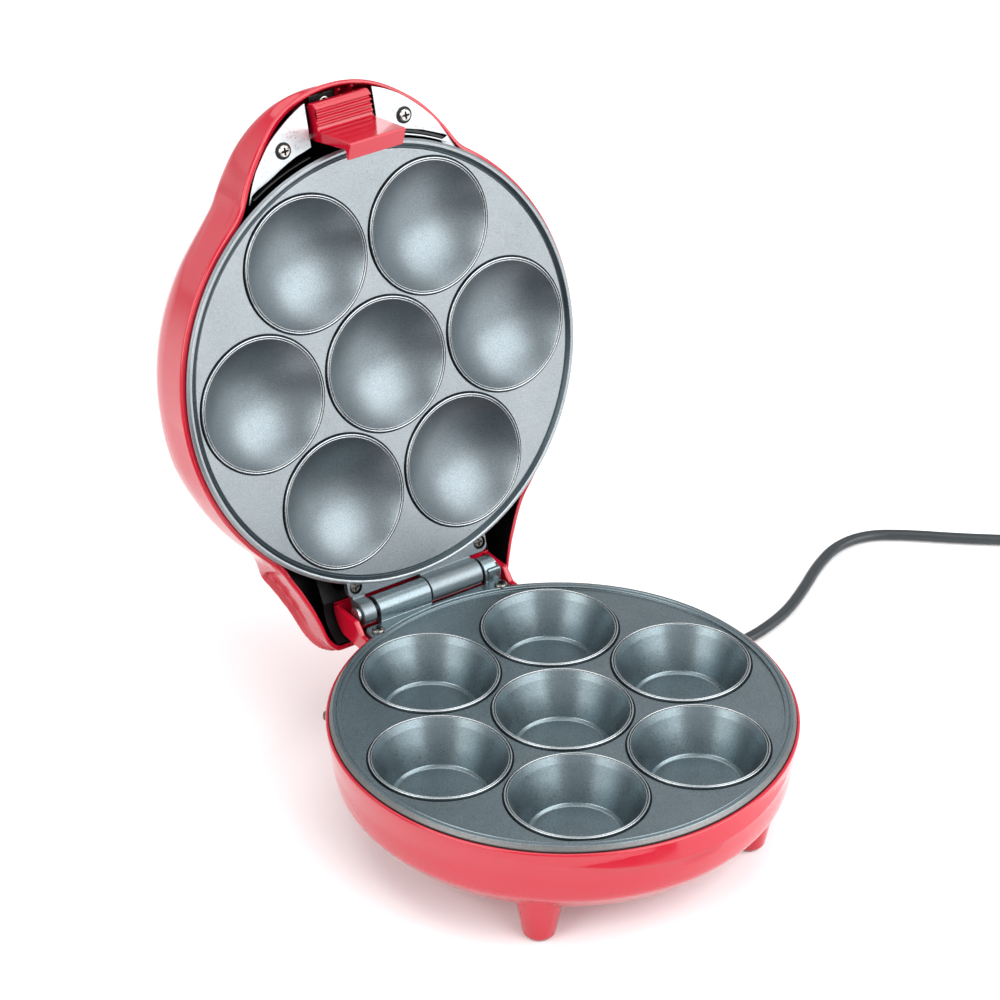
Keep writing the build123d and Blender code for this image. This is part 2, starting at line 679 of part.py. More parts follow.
with BuildPart() as lid_outer:
    with BuildSketch(lid_xz()):
        with BuildLine():
            Polyline((0, LID_RIM_Z), (105.8, LID_RIM_Z), (105.4, 72.0), (105.0, 80.0), (104.3, 90.0), (102.3, 98.0), (97.0, 107.0),
                     (90.0, 113.0), (80.0, 117.2), (68.0, 120.6), (40.0, 122.6), (0, 123.0), (0, LID_RIM_Z))
        make_face()
    revolve(axis=LID_AXIS)
    add(bump_block(0.0, 0.0))
    add(hood_block(0.0, HOOD_RIM_Z))

with BuildPart() as lid_shell:
    add(lid_outer.part)
    with BuildSketch(lid_xz()):
        with BuildLine():
            Polyline((0, 60.0), (102.2, 60.0), (102.2, 80.0), (101.6, 90.0), (99.6, 97.2), (94.9, 105.1), (88.6, 110.5),
                     (79.0, 114.6), (67.4, 118.0), (39.9, 120.0), (0, 120.4), (0, 60.0))
        make_face()
    revolve(axis=LID_AXIS, mode=Mode.SUBTRACT)
    add(bump_block(SHELL_WALL, SHELL_WALL), mode=Mode.SUBTRACT)
    add(hood_block(SHELL_WALL, 60.0), mode=Mode.SUBTRACT)
    # the rim of the front grip rises as an arch
    with BuildSketch(lid_xz(-84.0)):
        with BuildLine():
            Spline((-59.5, 69.2), (-55.5, 69.6), (-52.5, 71.4), (-47.9, 75.4), (-43.8, 76.9), (-39.2, 77.8), (-27.3, 78.8),
                   (-14.3, 77.0), (0, 75.6), (14.3, 77.0), (27.3, 78.8), (39.2, 77.8), (43.8, 76.9), (47.9, 75.4),
                   (52.5, 71.4), (55.5, 69.6), (59.5, 69.2))
            Polyline((59.5, 69.2), (59.5, 60.0), (-59.5, 60.0), (-59.5, 69.2))
        make_face()
    extrude(amount=60.0, mode=Mode.SUBTRACT)

# bosses inside the lid for the bracket and the plate
with BuildPart() as lid_bosses:
    with BuildSketch(lid_xy(73.85)):
        with Locations((32.2, -109.0), (-32.2, -109.0)):
            Circle(4.0)
    extrude(amount=30.0)
    with BuildSketch(lid_xy(85.25)):
        with Locations((-2.0, -122.6)):
            Circle(3.6)
    extrude(amount=12.0)
    with BuildSketch(lid_xy(70.05)):
        with Locations((34.7, 99.2), (-34.7, 99.2)):
            Circle(4.0)
    extrude(amount=30.0)
    # two stiffening ribs in the grip, behind the flap
    with BuildSketch(lid_yz(4.6)):
        with BuildLine():
            Polyline((-134.0, 78.0), (-128.6, 78.0), (-127.6, 92.0), (-134.0, 92.0), (-134.0, 78.0))
        make_face()
    extrude(amount=1.2)
    with BuildSketch(lid_yz(11.6)):
        with BuildLine():
            Polyline((-134.0, 78.0), (-128.6, 78.0), (-127.6, 92.0), (-134.0, 92.0), (-134.0, 78.0))
        make_face()
    extrude(amount=1.2)
    add(lid_outer.part, mode=Mode.INTERSECT)

with BuildPart() as lid_shell_full:
    add(lid_shell.part)
    add(lid_bosses.part)
    with BuildSketch(lid_xy(60.0)):
        with Locations((32.2, -109.0), (-32.2, -109.0)):
            Circle(1.5)
    extrude(amount=24.0, mode=Mode.SUBTRACT)
    with BuildSketch(lid_xy(60.0)):
        with Locations((-2.0, -122.6)):
            Circle(1.5)
    extrude(amount=29.0, mode=Mode.SUBTRACT)
    with BuildSketch(lid_xy(60.0)):
        with Locations((34.7, 99.2), (-34.7, 99.2)):
            Circle(1.5)
    extrude(amount=18.0, mode=Mode.SUBTRACT)

# black liner inside the hood, clear of the hinge guard
with BuildPart() as hood_liner:
    with BuildSketch(lid_yz(-46.0)):
        with BuildLine():
            r0, r1 = 15.9, 16.6
            a0, a1 = math.radians(30), math.radians(104)
            ThreePointArc((HINGE_Y + r1 * math.cos(a0), HINGE_Z + r1 * math.sin(a0)), (HINGE_Y + r1 * math.cos(math.radians(66)), HINGE_Z + r1 * math.sin(math.radians(66))),
                          (HINGE_Y + r1 * math.cos(a1), HINGE_Z + r1 * math.sin(a1)))
            Polyline((HINGE_Y + r1 * math.cos(a1), HINGE_Z + r1 * math.sin(a1)), (86.0, 85.2), (86.0, 84.4), (HINGE_Y + r0 * math.cos(a1), HINGE_Z + r0 * math.sin(a1)))
            ThreePointArc((HINGE_Y + r0 * math.cos(a1), HINGE_Z + r0 * math.sin(a1)), (HINGE_Y + r0 * math.cos(math.radians(66)), HINGE_Z + r0 * math.sin(math.radians(66))),
                          (HINGE_Y + r0 * math.cos(a0), HINGE_Z + r0 * math.sin(a0)))
            Line((HINGE_Y + r0 * math.cos(a0), HINGE_Z + r0 * math.sin(a0)), (HINGE_Y + r1 * math.cos(a0), HINGE_Z + r1 * math.sin(a0)))
        make_face()
    extrude(amount=92.0)
    with BuildSketch(lid_xy(60.0)):
        with Locations((34.7, 99.2), (-34.7, 99.2)):
            Circle(4.3)
    extrude(amount=40.0, mode=Mode.SUBTRACT)

with BuildPart() as upper_plate_screws:
    for x in (-34.7, 34.7):
        with BuildSketch(lid_xy(66.3)):
            with Locations((x, 99.2)):
                Circle(3.1)
        extrude(amount=1.7)
        with BuildSketch(lid_xy(67.5)):
            with Locations((x, 99.2)):
                Circle(1.45)
        extrude(amount=9.5)
        with BuildSketch(lid_xy(65.0)):
            with Locations((x, 99.2)):
                Rectangle(3.2, 0.8)
                Rectangle(0.8, 3.2)
        extrude(amount=2.2, mode=Mode.SUBTRACT)

# ------------------------------------------------------ upper inner pieces
with BuildPart() as upper_heater:
    add(ring_element(60.0, 85.2, lid_xz(), LID_AXIS, 20))

with BuildPart() as upper_element_clamps:
    for a in CLAMP_ANGLES:
        with BuildSketch(lid_xy(88.85)):
            with Locations(polar(50.5, a)):
                Rectangle(34.0, 9.0, rotation=a)
            with Locations(polar(NOTCH, a)):
                Circle(2.1, mode=Mode.SUBTRACT)
        extrude(amount=0.95)

with BuildPart() as upper_heat_shield:
    with BuildSketch(lid_xz()):
        with BuildLine():
            Polyline((0, 89.85), (78.0, 89.85), (81.0, 87.0), (81.8, 87.6), (78.4, 90.65), (0, 90.65), (0, 89.85))
        make_face()
    revolve(axis=LID_AXIS)
    with BuildSketch(lid_xy(89.0)):
        with Locations(*[polar(NOTCH, a) for a in CLAMP_ANGLES]):
            Circle(2.1)
    extrude(amount=2.0, mode=Mode.SUBTRACT)

with BuildPart() as upper_clamp_screws:
    for a in CLAMP_ANGLES:
        with BuildSketch(lid_xy(90.7)):
            with Locations(polar(NOTCH, a)):
                Circle(3.5)
        extrude(amount=2.0)
        with BuildSketch(lid_xy(76.5)):
            with Locations(polar(NOTCH, a)):
                Circle(1.9)
        extrude(amount=14.5)

with BuildPart() as upper_leads:
    for k, (a1, rr) in enumerate(((62.0, 90.0), (70.0, 93.4))):
        with BuildSketch(Plane(origin=lid_point(*polar(rr, 50.0), 78.0), x_dir=(0, SIN_O, COS_O),
                               z_dir=(lid_point(*polar(1.0, 140.0), 0) - lid_point(0, 0, 0)))):
            Circle(1.2)
        revolve(axis=LID_AXIS, revolution_arc=a1 - 20)

# --------------------------------------------------- latch and its bracket
with BuildPart() as latch_bracket:
    with BuildSketch(lid_xy(72.6)):
        with BuildLine():
            pts = inset_points(bump_outline(), 3.3)
            Spline(*pts)
            Polyline(pts[-1], (pts[-1][0], -70.0), (pts[0][0], -70.0), pts[0])
        make_face()
        Circle(102.8, mode=Mode.SUBTRACT)
        with Locations((0, -116.0)):
            Rectangle(35.2, 40.0, mode=Mode.SUBTRACT)
    extrude(amount=1.2)
    # long curved opening between the wings and the cooking plate
    with BuildSketch(lid_xy(72.0)):
        Circle(107.4)
        Rectangle(99.0, 230.0, mode=Mode.INTERSECT)
    extrude(amount=3.0, mode=Mode.SUBTRACT)
    # the channel between the two wings, which holds the pivot pin
    with BuildSketch(lid_xy(72.6)):
        with Locations((-18.2, -115.6), (18.2, -115.6)):
            Rectangle(1.2, 13.2)
    extrude(amount=12.6)
    with BuildSketch(lid_xy(84.0)):
        with Locations((0, -115.6)):
            Rectangle(37.6, 13.2)
        with Locations((-2.0, -121.0)):
            Rectangle(14.0, 11.0)
    extrude(amount=1.2)
    with BuildSketch(lid_xy(70.0)):
        with Locations((32.2, -109.0), (-32.2, -109.0)):
            Circle(1.8)
    extrude(amount=6.0, mode=Mode.SUBTRACT)
    with BuildSketch(lid_xy(80.0)):
        with Locations((-2.0, -122.6)):
            Circle(1.8)
    extrude(amount=8.0, mode=Mode.SUBTRACT)
    with BuildSketch(lid_yz(-25)):
        with Locations(LATCH_PIVOT):
            Circle(1.55)
    extrude(amount=50, mode=Mode.SUBTRACT)

with BuildPart() as bracket_screws:
    for x, y, z in ((32.2, -109.0, 72.55), (-32.2, -109.0, 72.55), (-2.0, -122.6, 83.95)):
        with BuildSketch(lid_xy(z - 1.9)):
            with Locations((x, y)):
                Circle(3.1)
        extrude(amount=1.9)
        with BuildSketch(lid_xy(z - 0.4)):
            with Locations((x, y)):
                Circle(1.45)
        extrude(amount=9.5 if z < 80 else 4.6)
        with BuildSketch(lid_xy(z - 3.0)):
            with Locations((x, y)):
                Rectangle(3.4, 0.8)
                Rectangle(0.8, 3.4)
        extrude(amount=2.0, mode=Mode.SUBTRACT)

with BuildPart() as latch_pin:
    with BuildSketch(lid_yz(-20.4)):
        with Locations(LATCH_PIVOT):
            Circle(2.6)
    extrude(amount=1.4)
    with BuildSketch(lid_yz(-19.5)):
        with Locations(LATCH_PIVOT):
            Circle(1.5)
    extrude(amount=39.6)

with BuildPart() as latch_spring:
    with BuildSketch(lid_yz(15.3)):
        with Locations(LATCH_PIVOT):
            Circle(3.5)
            Circle(2.6, mode=Mode.SUBTRACT)
    extrude(amount=1.9)
    with BuildSketch(lid_yz(15.3)):
        with Locations((LATCH_PIVOT[0] - 3.05, LATCH_PIVOT[1] + 3.4)):
            Rectangle(0.9, 6.8)
    extrude(amount=0.9)

with BuildPart() as latch:
    with BuildSketch(lid_yz(-LATCH_W / 2)):
        with BuildLine():
            Polyline((-126.0, 69.9), (-126.0, 72.6), (-115.0, 73.2), (-113.2, 80.0), (-108.4, 80.0), (-108.4, 47.6),
                     (-104.0, 47.6), (-104.0, 46.6), (-111.0, 42.7), (-111.2, 66.0), (-113.4, 69.0), (-115.0, 69.9), (-126.0, 69.9))
        make_face()
        with Locations(LATCH_PIVOT):
            Circle(4.0)
    extrude(amount=LATCH_W)
    # grip ribs across the flap
    for k in range(5):
        with BuildSketch(lid_yz(-LATCH_W / 2)):
            with Locations((-125.0 + 2.3 * k, 69.9)):
                Circle(0.75)
        extrude(amount=LATCH_W)
    with BuildSketch(lid_yz(-25)):
        with Locations(LATCH_PIVOT):
            Circle(1.56)
    extrude(amount=50, mode=Mode.SUBTRACT)

# ------------------------------------------------------------------ export
lower_plate.part.label = "lower_plate"
export_step(lower_plate.part, "parts/lower_plate.step")
upper_plate.part.label = "upper_plate"
export_step(upper_plate.part, "parts/upper_plate.step")
base_shell.part.label = "base_shell"
export_step(base_shell.part, "parts/base_shell.step")
foot_pads.part.label = "foot_pads"
export_step(foot_pads.part, "parts/foot_pads.step")
lower_plate_screws.part.label = "lower_plate_screws"
export_step(lower_plate_screws.part, "parts/lower_plate_screws.step")
hinge_pin.part.label = "hinge_pin"
export_step(hinge_pin.part, "parts/hinge_pin.step")
hinge_clip.part.label = "hinge_clip"
export_step(hinge_clip.part, "parts/hinge_clip.step")
lower_heater.part.label = "lower_heater"
export_step(lower_heater.part, "parts/lower_heater.step")
lower_element_clamps.part.label = "lower_element_clamps"
export_step(lower_element_clamps.part, "parts/lower_element_clamps.step")
lower_heat_shield.part.label = "lower_heat_shield"
export_step(lower_heat_shield.part, "parts/lower_heat_shield.step")
lower_clamp_screws.part.label = "lower_clamp_screws"
export_step(lower_clamp_screws.part, "parts/lower_clamp_screws.step")
shield_spacers.part.label = "shield_spacers"
export_step(shield_spacers.part, "parts/shield_spacers.step")
thermostat.part.label = "thermostat"
export_step(thermostat.part, "parts/thermostat.step")
thermal_fuse.part.label = "thermal_fuse"
export_step(thermal_fuse.part, "parts/thermal_fuse.step")
terminal_block.part.label = "terminal_block"
export_step(terminal_block.part, "parts/terminal_block.step")
base_leads.part.label = "base_leads"
export_step(base_leads.part, "parts/base_leads.step")
pilot_lens.part.label = "pilot_lens"
export_step(pilot_lens.part, "parts/pilot_lens.step")
neon_lamp.part.label = "neon_lamp"
export_step(neon_lamp.part, "parts/neon_lamp.step")
cord_gland.part.label = "cord_gland"
export_step(cord_gland.part, "parts/cord_gland.step")
power_cord.part.label = "power_cord"
export_step(power_cord.part, "parts/power_cord.step")
cord_coil.part.label = "cord_coil"
export_step(cord_coil.part, "parts/cord_coil.step")
plug_body.part.label = "plug_body"
export_step(plug_body.part, "parts/plug_body.step")
plug_blades.part.label = "plug_blades"
export_step(plug_blades.part, "parts/plug_blades.step")
lid_shell_full.part.label = "lid_shell"
export_step(lid_shell_full.part, "parts/lid_shell.step")
hood_liner.part.label = "hood_liner"
export_step(hood_liner.part, "parts/hood_liner.step")
upper_plate_screws.part.label = "upper_plate_screws"
export_step(upper_plate_screws.part, "parts/upper_plate_screws.step")
upper_heater.part.label = "upper_heater"
export_step(upper_heater.part, "parts/upper_heater.step")
upper_element_clamps.part.label = "upper_element_clamps"
export_step(upper_element_clamps.part, "parts/upper_element_clamps.step")
upper_heat_shield.part.label = "upper_heat_shield"
export_step(upper_heat_shield.part, "parts/upper_heat_shield.step")
upper_clamp_screws.part.label = "upper_clamp_screws"
export_step(upper_clamp_screws.part, "parts/upper_clamp_screws.step")
upper_leads.part.label = "upper_leads"
export_step(upper_leads.part, "parts/upper_leads.step")
latch_bracket.part.label = "latch_bracket"
export_step(latch_bracket.part, "parts/latch_bracket.step")
bracket_screws.part.label = "bracket_screws"
export_step(bracket_screws.part, "parts/bracket_screws.step")
latch_pin.part.label = "latch_pin"
export_step(latch_pin.part, "parts/latch_pin.step")
latch_spring.part.label = "latch_spring"
export_step(latch_spring.part, "parts/latch_spring.step")
latch.part.label = "latch"
export_step(latch.part, "parts/latch.step")
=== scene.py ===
import json
import math

import bmesh
import bpy
import numpy as np
from mathutils import Matrix, Vector


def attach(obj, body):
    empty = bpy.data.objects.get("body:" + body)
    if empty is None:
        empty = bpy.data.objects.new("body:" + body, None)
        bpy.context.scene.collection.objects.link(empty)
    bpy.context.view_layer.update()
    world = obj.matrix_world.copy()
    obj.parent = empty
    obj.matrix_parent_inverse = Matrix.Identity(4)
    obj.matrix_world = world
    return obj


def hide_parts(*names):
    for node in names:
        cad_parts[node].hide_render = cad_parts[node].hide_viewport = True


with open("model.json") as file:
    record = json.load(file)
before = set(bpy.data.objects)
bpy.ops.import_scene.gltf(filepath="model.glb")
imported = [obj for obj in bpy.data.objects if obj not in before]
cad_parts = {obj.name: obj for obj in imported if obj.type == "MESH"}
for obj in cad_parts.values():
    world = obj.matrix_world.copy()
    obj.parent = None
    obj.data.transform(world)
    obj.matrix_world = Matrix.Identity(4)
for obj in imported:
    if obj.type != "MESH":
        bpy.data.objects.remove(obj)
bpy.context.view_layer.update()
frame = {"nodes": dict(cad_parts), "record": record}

# ------------------------------------------------------------------ frames
# Millimetres in here, metres in the scene. "base" points are drawn about the
# round body's axis, "lid" points in the lid's own closed position.
BODY_Y = -51.48
OPEN = math.radians(104.24)
S, C = math.sin(OPEN), math.cos(OPEN)
HY, HZ = 111.0, 63.0


def base_pt(x, y, z):
    return Vector((x, y + BODY_Y, z)) / 1000.0


def lid_pt(x, y, z):
    dy, dz = y - HY, z - HZ
    return Vector((x, BODY_Y + HY + dy * C + dz * S, HZ - dy * S + dz * C)) / 1000.0


BASE_M = Matrix.Translation((0, BODY_Y / 1000.0, 0)) @ Matrix.Scale(0.001, 4)
LID_M = Matrix((
    (1, 0, 0, 0),
    (0, C, S, BODY_Y + HY - HY * C - HZ * S),
    (0, -S, C, HZ + HY * S - HZ * C),
    (0, 0, 0, 1000.0),
))
LID_M = Matrix([[v / 1000.0 for v in row] for row in LID_M])

SCENE = bpy.context.scene


# ----------------------------------------------------------------- camera
def make_camera():
    az, el, roll = (math.radians(v) for v in (-34.684, 31.849, 0.242))
    back = Vector((math.sin(az) * math.cos(el), -math.cos(az) * math.cos(el), math.sin(el)))
    right = Vector((math.cos(az), math.sin(az), 0.0))
    up = back.cross(right)
    c, s = math.cos(roll), math.sin(roll)
    r2, u2 = c * right + s * up, -s * right + c * up
    data = bpy.data.cameras.new("view_camera")
    data.sensor_width = 36.0
    data.lens = 144.314
    data.clip_start, data.clip_end = 0.05, 60.0
    cam = bpy.data.objects.new("view_camera", data)
    SCENE.collection.objects.link(cam)
    cam.matrix_world = Matrix((
        (r2.x, u2.x, back.x, -0.861582),
        (r2.y, u2.y, back.y, -1.246440),
        (r2.z, u2.z, back.z, 1.084130),
        (0, 0, 0, 1),
    ))
    SCENE.camera = cam
    return cam


CAM = make_camera()


# ------------------------------------------------------------- materials
def new_material(name):
    m = bpy.data.materials.new(name)
    m.use_nodes = True
    nt = m.node_tree
    nt.nodes.clear()
    out = nt.nodes.new("ShaderNodeOutputMaterial")
    bsdf = nt.nodes.new("ShaderNodeBsdfPrincipled")
    nt.links.new(bsdf.outputs[0], out.inputs[0])
    return m, nt, bsdf


def coords(nt, scale=1.0):
    tc = nt.nodes.new("ShaderNodeTexCoord")
    mp = nt.nodes.new("ShaderNodeMapping")
    mp.inputs["Scale"].default_value = (scale, scale, scale) if not hasattr(scale, "__len__") else scale
    nt.links.new(tc.outputs["Object"], mp.inputs["Vector"])
    return mp.outputs[0]


def noise(nt, vec, scale, detail=3.0, rough=0.55):
    n = nt.nodes.new("ShaderNodeTexNoise")
    n.inputs["Scale"].default_value = scale
    n.inputs["Detail"].default_value = detail
    n.inputs["Roughness"].default_value = rough
    nt.links.new(vec, n.inputs["Vector"])
    return n.outputs["Fac"]


def ramp(nt, fac, stops):
    r = nt.nodes.new("ShaderNodeValToRGB")
    cr = r.color_ramp
    cr.elements[0].position, cr.elements[0].color = stops[0][0], (*stops[0][1], 1)
    cr.elements[1].position, cr.elements[1].color = stops[-1][0], (*stops[-1][1], 1)
    for pos, col in stops[1:-1]:
        e = cr.elements.new(pos)
        e.color = (*col, 1)
    nt.links.new(fac, r.inputs[0])
    return r.outputs[0]


def map_range(nt, fac, a, b, c, d):
    m = nt.nodes.new("ShaderNodeMapRange")
    for i, v in zip((1, 2, 3, 4), (a, b, c, d)):
        m.inputs[i].default_value = v
    nt.links.new(fac, m.inputs[0])
    return m.outputs[0]


def bump(nt, bsdf, height, strength, distance):
    b = nt.nodes.new("ShaderNodeBump")
    b.inputs["Strength"].default_value = strength
    b.inputs["Distance"].default_value = distance
    nt.links.new(height, b.inputs["Height"])
    nt.links.new(b.outputs[0], bsdf.inputs["Normal"])
    return b


def red_plastic():
    m, nt, b = new_material("gloss_red_plastic")
    v = coords(nt)
    col = ramp(nt, noise(nt, v, 9.0, 2.0), [(0.35, (0.40, 0.003, 0.016)), (0.65, (0.43, 0.005, 0.021))])
    nt.links.new(col, b.inputs["Base Color"])
    rough = map_range(nt, noise(nt, v, 120.0, 4.0), 0.3, 0.7, 0.13, 0.19)
    nt.links.new(rough, b.inputs["Roughness"])
    b.inputs["IOR"].default_value = 1.5
    b.inputs["Coat Weight"].default_value = 0.35
    b.inputs["Coat Roughness"].default_value = 0.05
    bump(nt, b, noise(nt, v, 260.0, 2.0), 0.04, 0.0002)
    return m


def nonstick(name, dark, light, metallic=0.75, rough=(0.36, 0.46), grain=0.25):
    m, nt, b = new_material(name)
    v = coords(nt)
    fleck = noise(nt, v, 2400.0, 2.0, 0.7)
    broad = noise(nt, v, 40.0, 3.0)
    mix = nt.nodes.new("ShaderNodeMath"); mix.operation = "MULTIPLY_ADD"
    mix.inputs[1].default_value = 0.25
    nt.links.new(broad, mix.inputs[0]); nt.links.new(fleck, mix.inputs[2])
    col = ramp(nt, mix.outputs[0], [(0.42, dark), (0.82, light)])
    nt.links.new(col, b.inputs["Base Color"])
    b.inputs["Metallic"].default_value = metallic
    nt.links.new(map_range(nt, noise(nt, v, 900.0, 3.0), 0.3, 0.7, *rough), b.inputs["Roughness"])
    bump(nt, b, noise(nt, v, 1500.0, 3.0, 0.6), grain, 0.0002)
    return m


def steel(name, color, rough=(0.18, 0.3), metallic=1.0, scale=600.0, strength=0.1):
    m, nt, b = new_material(name)
    v = coords(nt)
    n = noise(nt, v, scale, 4.0)
    col = ramp(nt, n, [(0.3, tuple(0.9 * c for c in color)), (0.7, color)])
    nt.links.new(col, b.inputs["Base Color"])
    b.inputs["Metallic"].default_value = metallic
    nt.links.new(map_range(nt, n, 0.3, 0.7, *rough), b.inputs["Roughness"])
    bump(nt, b, noise(nt, v, scale * 1.7, 2.0), strength, 0.0001)
    return m


def plain_plastic(name, dark, light, rough=(0.4, 0.55), scale=900.0, strength=0.2, spec=0.5):
    m, nt, b = new_material(name)
    b.inputs["Specular IOR Level"].default_value = spec
    v = coords(nt)
    n = noise(nt, v, scale, 3.0)
    nt.links.new(ramp(nt, noise(nt, v, 60.0, 3.0), [(0.3, dark), (0.7, light)]), b.inputs["Base Color"])
    nt.links.new(map_range(nt, n, 0.3, 0.7, *rough), b.inputs["Roughness"])
    bump(nt, b, n, strength, 0.0001)
    return m


MAT = {
    "red_plastic": red_plastic(),
    "nonstick_dark": nonstick("nonstick_coat_lower", (0.118, 0.156, 0.173), (0.230, 0.280, 0.300), 0.95, (0.26, 0.34), 0.09),
    "nonstick_grey": nonstick("nonstick_coat_upper", (0.122, 0.149, 0.165), (0.235, 0.270, 0.287), 0.95, (0.36, 0.44)),
    "rubber": plain_plastic("foot_rubber", (0.02, 0.02, 0.02), (0.035, 0.035, 0.035), (0.6, 0.8)),
    "screw_steel": steel("screw_plating", (0.62, 0.60, 0.56)),
    "pin_steel": steel("pin_metal", (0.50, 0.52, 0.54), (0.25, 0.35)),
    "polished_steel": steel("bracket_metal", (0.58, 0.61, 0.625), (0.26, 0.34), strength=0.02),
    "element_steel": steel("heater_sheath", (0.28, 0.26, 0.25), (0.4, 0.5)),
    "sheet_metal": steel("shield_sheet", (0.70, 0.71, 0.72), (0.3, 0.4)),
    "black_plastic": plain_plastic("black_moulding", (0.004, 0.004, 0.005), (0.008, 0.008, 0.009), (0.35, 0.5), spec=0.12),
    "white_plastic": plain_plastic("white_moulding", (0.7, 0.69, 0.66), (0.78, 0.77, 0.74)),
    "dark_lens": plain_plastic("lens_smoke", (0.07, 0.04, 0.035), (0.10, 0.06, 0.05), (0.12, 0.2), 900.0, 0.03),
    "lamp_glass": plain_plastic("lamp_envelope", (0.7, 0.5, 0.35), (0.8, 0.6, 0.45), (0.08, 0.15), 900.0, 0.02),
    "cord_jacket": plain_plastic("cord_sheath", (0.012, 0.017, 0.020), (0.022, 0.028, 0.032), (0.30, 0.42), 1400.0, 0.25),
    "brass": steel("blade_plating", (0.78, 0.64, 0.36), (0.2, 0.3)),
}

MAT["plate_edge"] = nonstick("plate_edge_lower", (0.10, 0.10, 0.10), (0.20, 0.20, 0.20), 0.8, (0.40, 0.5))
MAT["plate_edge_upper"] = nonstick("plate_edge_upper", (0.16, 0.18, 0.19), (0.30, 0.33, 0.35), 0.8, (0.34, 0.44))
# painted sheen: the upper plate's flat field takes a lighter, glossier copy of the same coating, standing in for its
# brighter reflection
MAT["field_grey"] = nonstick("nonstick_coat_upper_field_painted_sheen", (0.22, 0.248, 0.263), (0.35, 0.382, 0.397), 0.95, (0.27, 0.35))
# painted highlight: a lighter, glossier copy of the coating on the bead crests, standing in for the bright line they
# catch
MAT["crest"] = nonstick("nonstick_coat_crest_painted_highlight", (0.34, 0.37, 0.385), (0.52, 0.55, 0.565), 0.95, (0.22, 0.30))
# painted shade: a near-black copy of the coating, laid in the beads' and rim's grooves where shade falls
MAT["groove"] = nonstick("nonstick_coat_groove_painted_shade", (0.030, 0.045, 0.055), (0.070, 0.09, 0.10), 0.9, (0.34, 0.44))
MAT["rim_grey"] = nonstick("nonstick_coat_rim", (0.24, 0.265, 0.28), (0.36, 0.39, 0.405), 0.95, (0.26, 0.34))
MAT["screw_pan"] = steel("screw_pan_metal", (0.20, 0.19, 0.18), (0.2, 0.3))
# painted shade: a darker copy of the red for the inside of the grip bulge, standing in for the shade there
MAT["red_inner"] = plain_plastic("red_inner_moulding", (0.30, 0.003, 0.012), (0.36, 0.004, 0.015), (0.28, 0.4))
# painted shade: a near-black copy of the bracket steel for its posts inside the grip and the strips beside its fold
MAT["bracket_dark"] = steel("bracket_metal_painted_shade", (0.05, 0.05, 0.05), (0.3, 0.42))
MAT["screw_dark"] = steel("screw_browned", (0.16, 0.15, 0.14), (0.3, 0.42))
# painted shade: near-black for the screws' cross recesses, the upper tab's recess floors and a ring round each bracket
# screw
MAT["recess"] = steel("screw_recess_painted_shade", (0.03, 0.03, 0.03), (0.5, 0.6))

node_slot = {s["node"]: s["material_slot"] for s in frame["record"]["subparts"]}
for name, obj in frame["nodes"].items():
    obj.data.materials.clear()
    obj.data.materials.append(MAT[node_slot[name]])


# ----------------------------------------------------------------- the cord
def cord_route():
    pts = [
        (111.886, 52.173, 20.292), (121.25, 56.54, 16.53), (133.5, 61.0, 8.0), (146.5, 63.0, 3.1),
        (164.0, 65.0, 2.9), (186.0, 71.9, 2.9), (205.5, 83.3, 2.9), (224.0, 96.0, 2.9),
        (243.5, 105.4, 2.9), (262.5, 105.2, 2.9), (279.5, 94.0, 2.9), (299.0, 76.6, 2.9),
        (324.0, 57.0, 2.9), (341.0, 41.8, 2.9),
    ]
    # the coil: two and a bit turns, two side by side on the table and the last on top
    cx, cy, per = 371.0, 60.0, 14
    a0, total = -118.0, 118.0 + 720.0
    n = int(total / (360.0 / per))
    for i in range(n + 1):
        t = i / n
        a = math.radians(a0 + total * t)
        turn = total * t / 360.0
        lane = min(max((turn - 0.85) / 0.35, 0.0), 1.0)
        up = min(max((turn - 1.72) / 0.35, 0.0), 1.0)
        lane, up = (v * v * (3 - 2 * v) for v in (lane, up))
        r = 37.2 - 6.4 * lane + 3.6 * up
        pts.append((cx + r * math.cos(a), cy + r * math.sin(a), 2.9 + 5.4 * up))
    pts += [(405.0, 70.0, 8.2), (405.0, 79.0, 7.8), (405.0, 90.0, 7.6)]
    return [base_pt(*p) for p in pts]


def make_cord():
    profile = bpy.data.curves.new("cord_section", "CURVE")
    profile.dimensions = "2D"
    sp = profile.splines.new("POLY")
    n = 28
    sp.points.add(n - 1)
    for i in range(n):
        a = 2 * math.pi * i / n
        x = 2.85 * math.copysign(abs(math.cos(a)) ** 0.85, math.cos(a))
        y = 2.35 * math.sin(a) * (1.0 - 0.16 * math.exp(-(x / 0.75) ** 2))
        sp.points[i].co = (x / 1000.0, y / 1000.0, 0, 1)
    sp.use_cyclic_u = True
    section = bpy.data.objects.new("cord_section", profile)
    SCENE.collection.objects.link(section)
    section.hide_render = section.hide_viewport = True

    data = bpy.data.curves.new("mains_cord", "CURVE")
    data.dimensions = "3D"
    pts = cord_route()
    sp = data.splines.new("NURBS")
    sp.points.add(len(pts) - 1)
    for q, p in zip(sp.points, pts):
        q.co = (*p, 1.0)
    sp.use_endpoint_u = True
    sp.order_u = 3
    sp.resolution_u = 8
    data.twist_mode = "Z_UP"
    data.bevel_mode = "OBJECT"
    data.bevel_object = section
    data.use_fill_caps = True
    data.materials.append(MAT["cord_jacket"])
    cord = bpy.data.objects.new("mains_cord", data)
    SCENE.collection.objects.link(cord)
    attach(cord, "base")
    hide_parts("power_cord", "cord_coil")
    return cord


CORD = make_cord()
bpy.context.view_layer.update()
bare = bpy.data.objects.new("bare", CORD.data.copy())
bare.data.bevel_mode = "ROUND"
bare.data.bevel_depth = 0.0
line = bpy.data.meshes.new_from_object(bare)
bpy.data.objects.remove(bare)


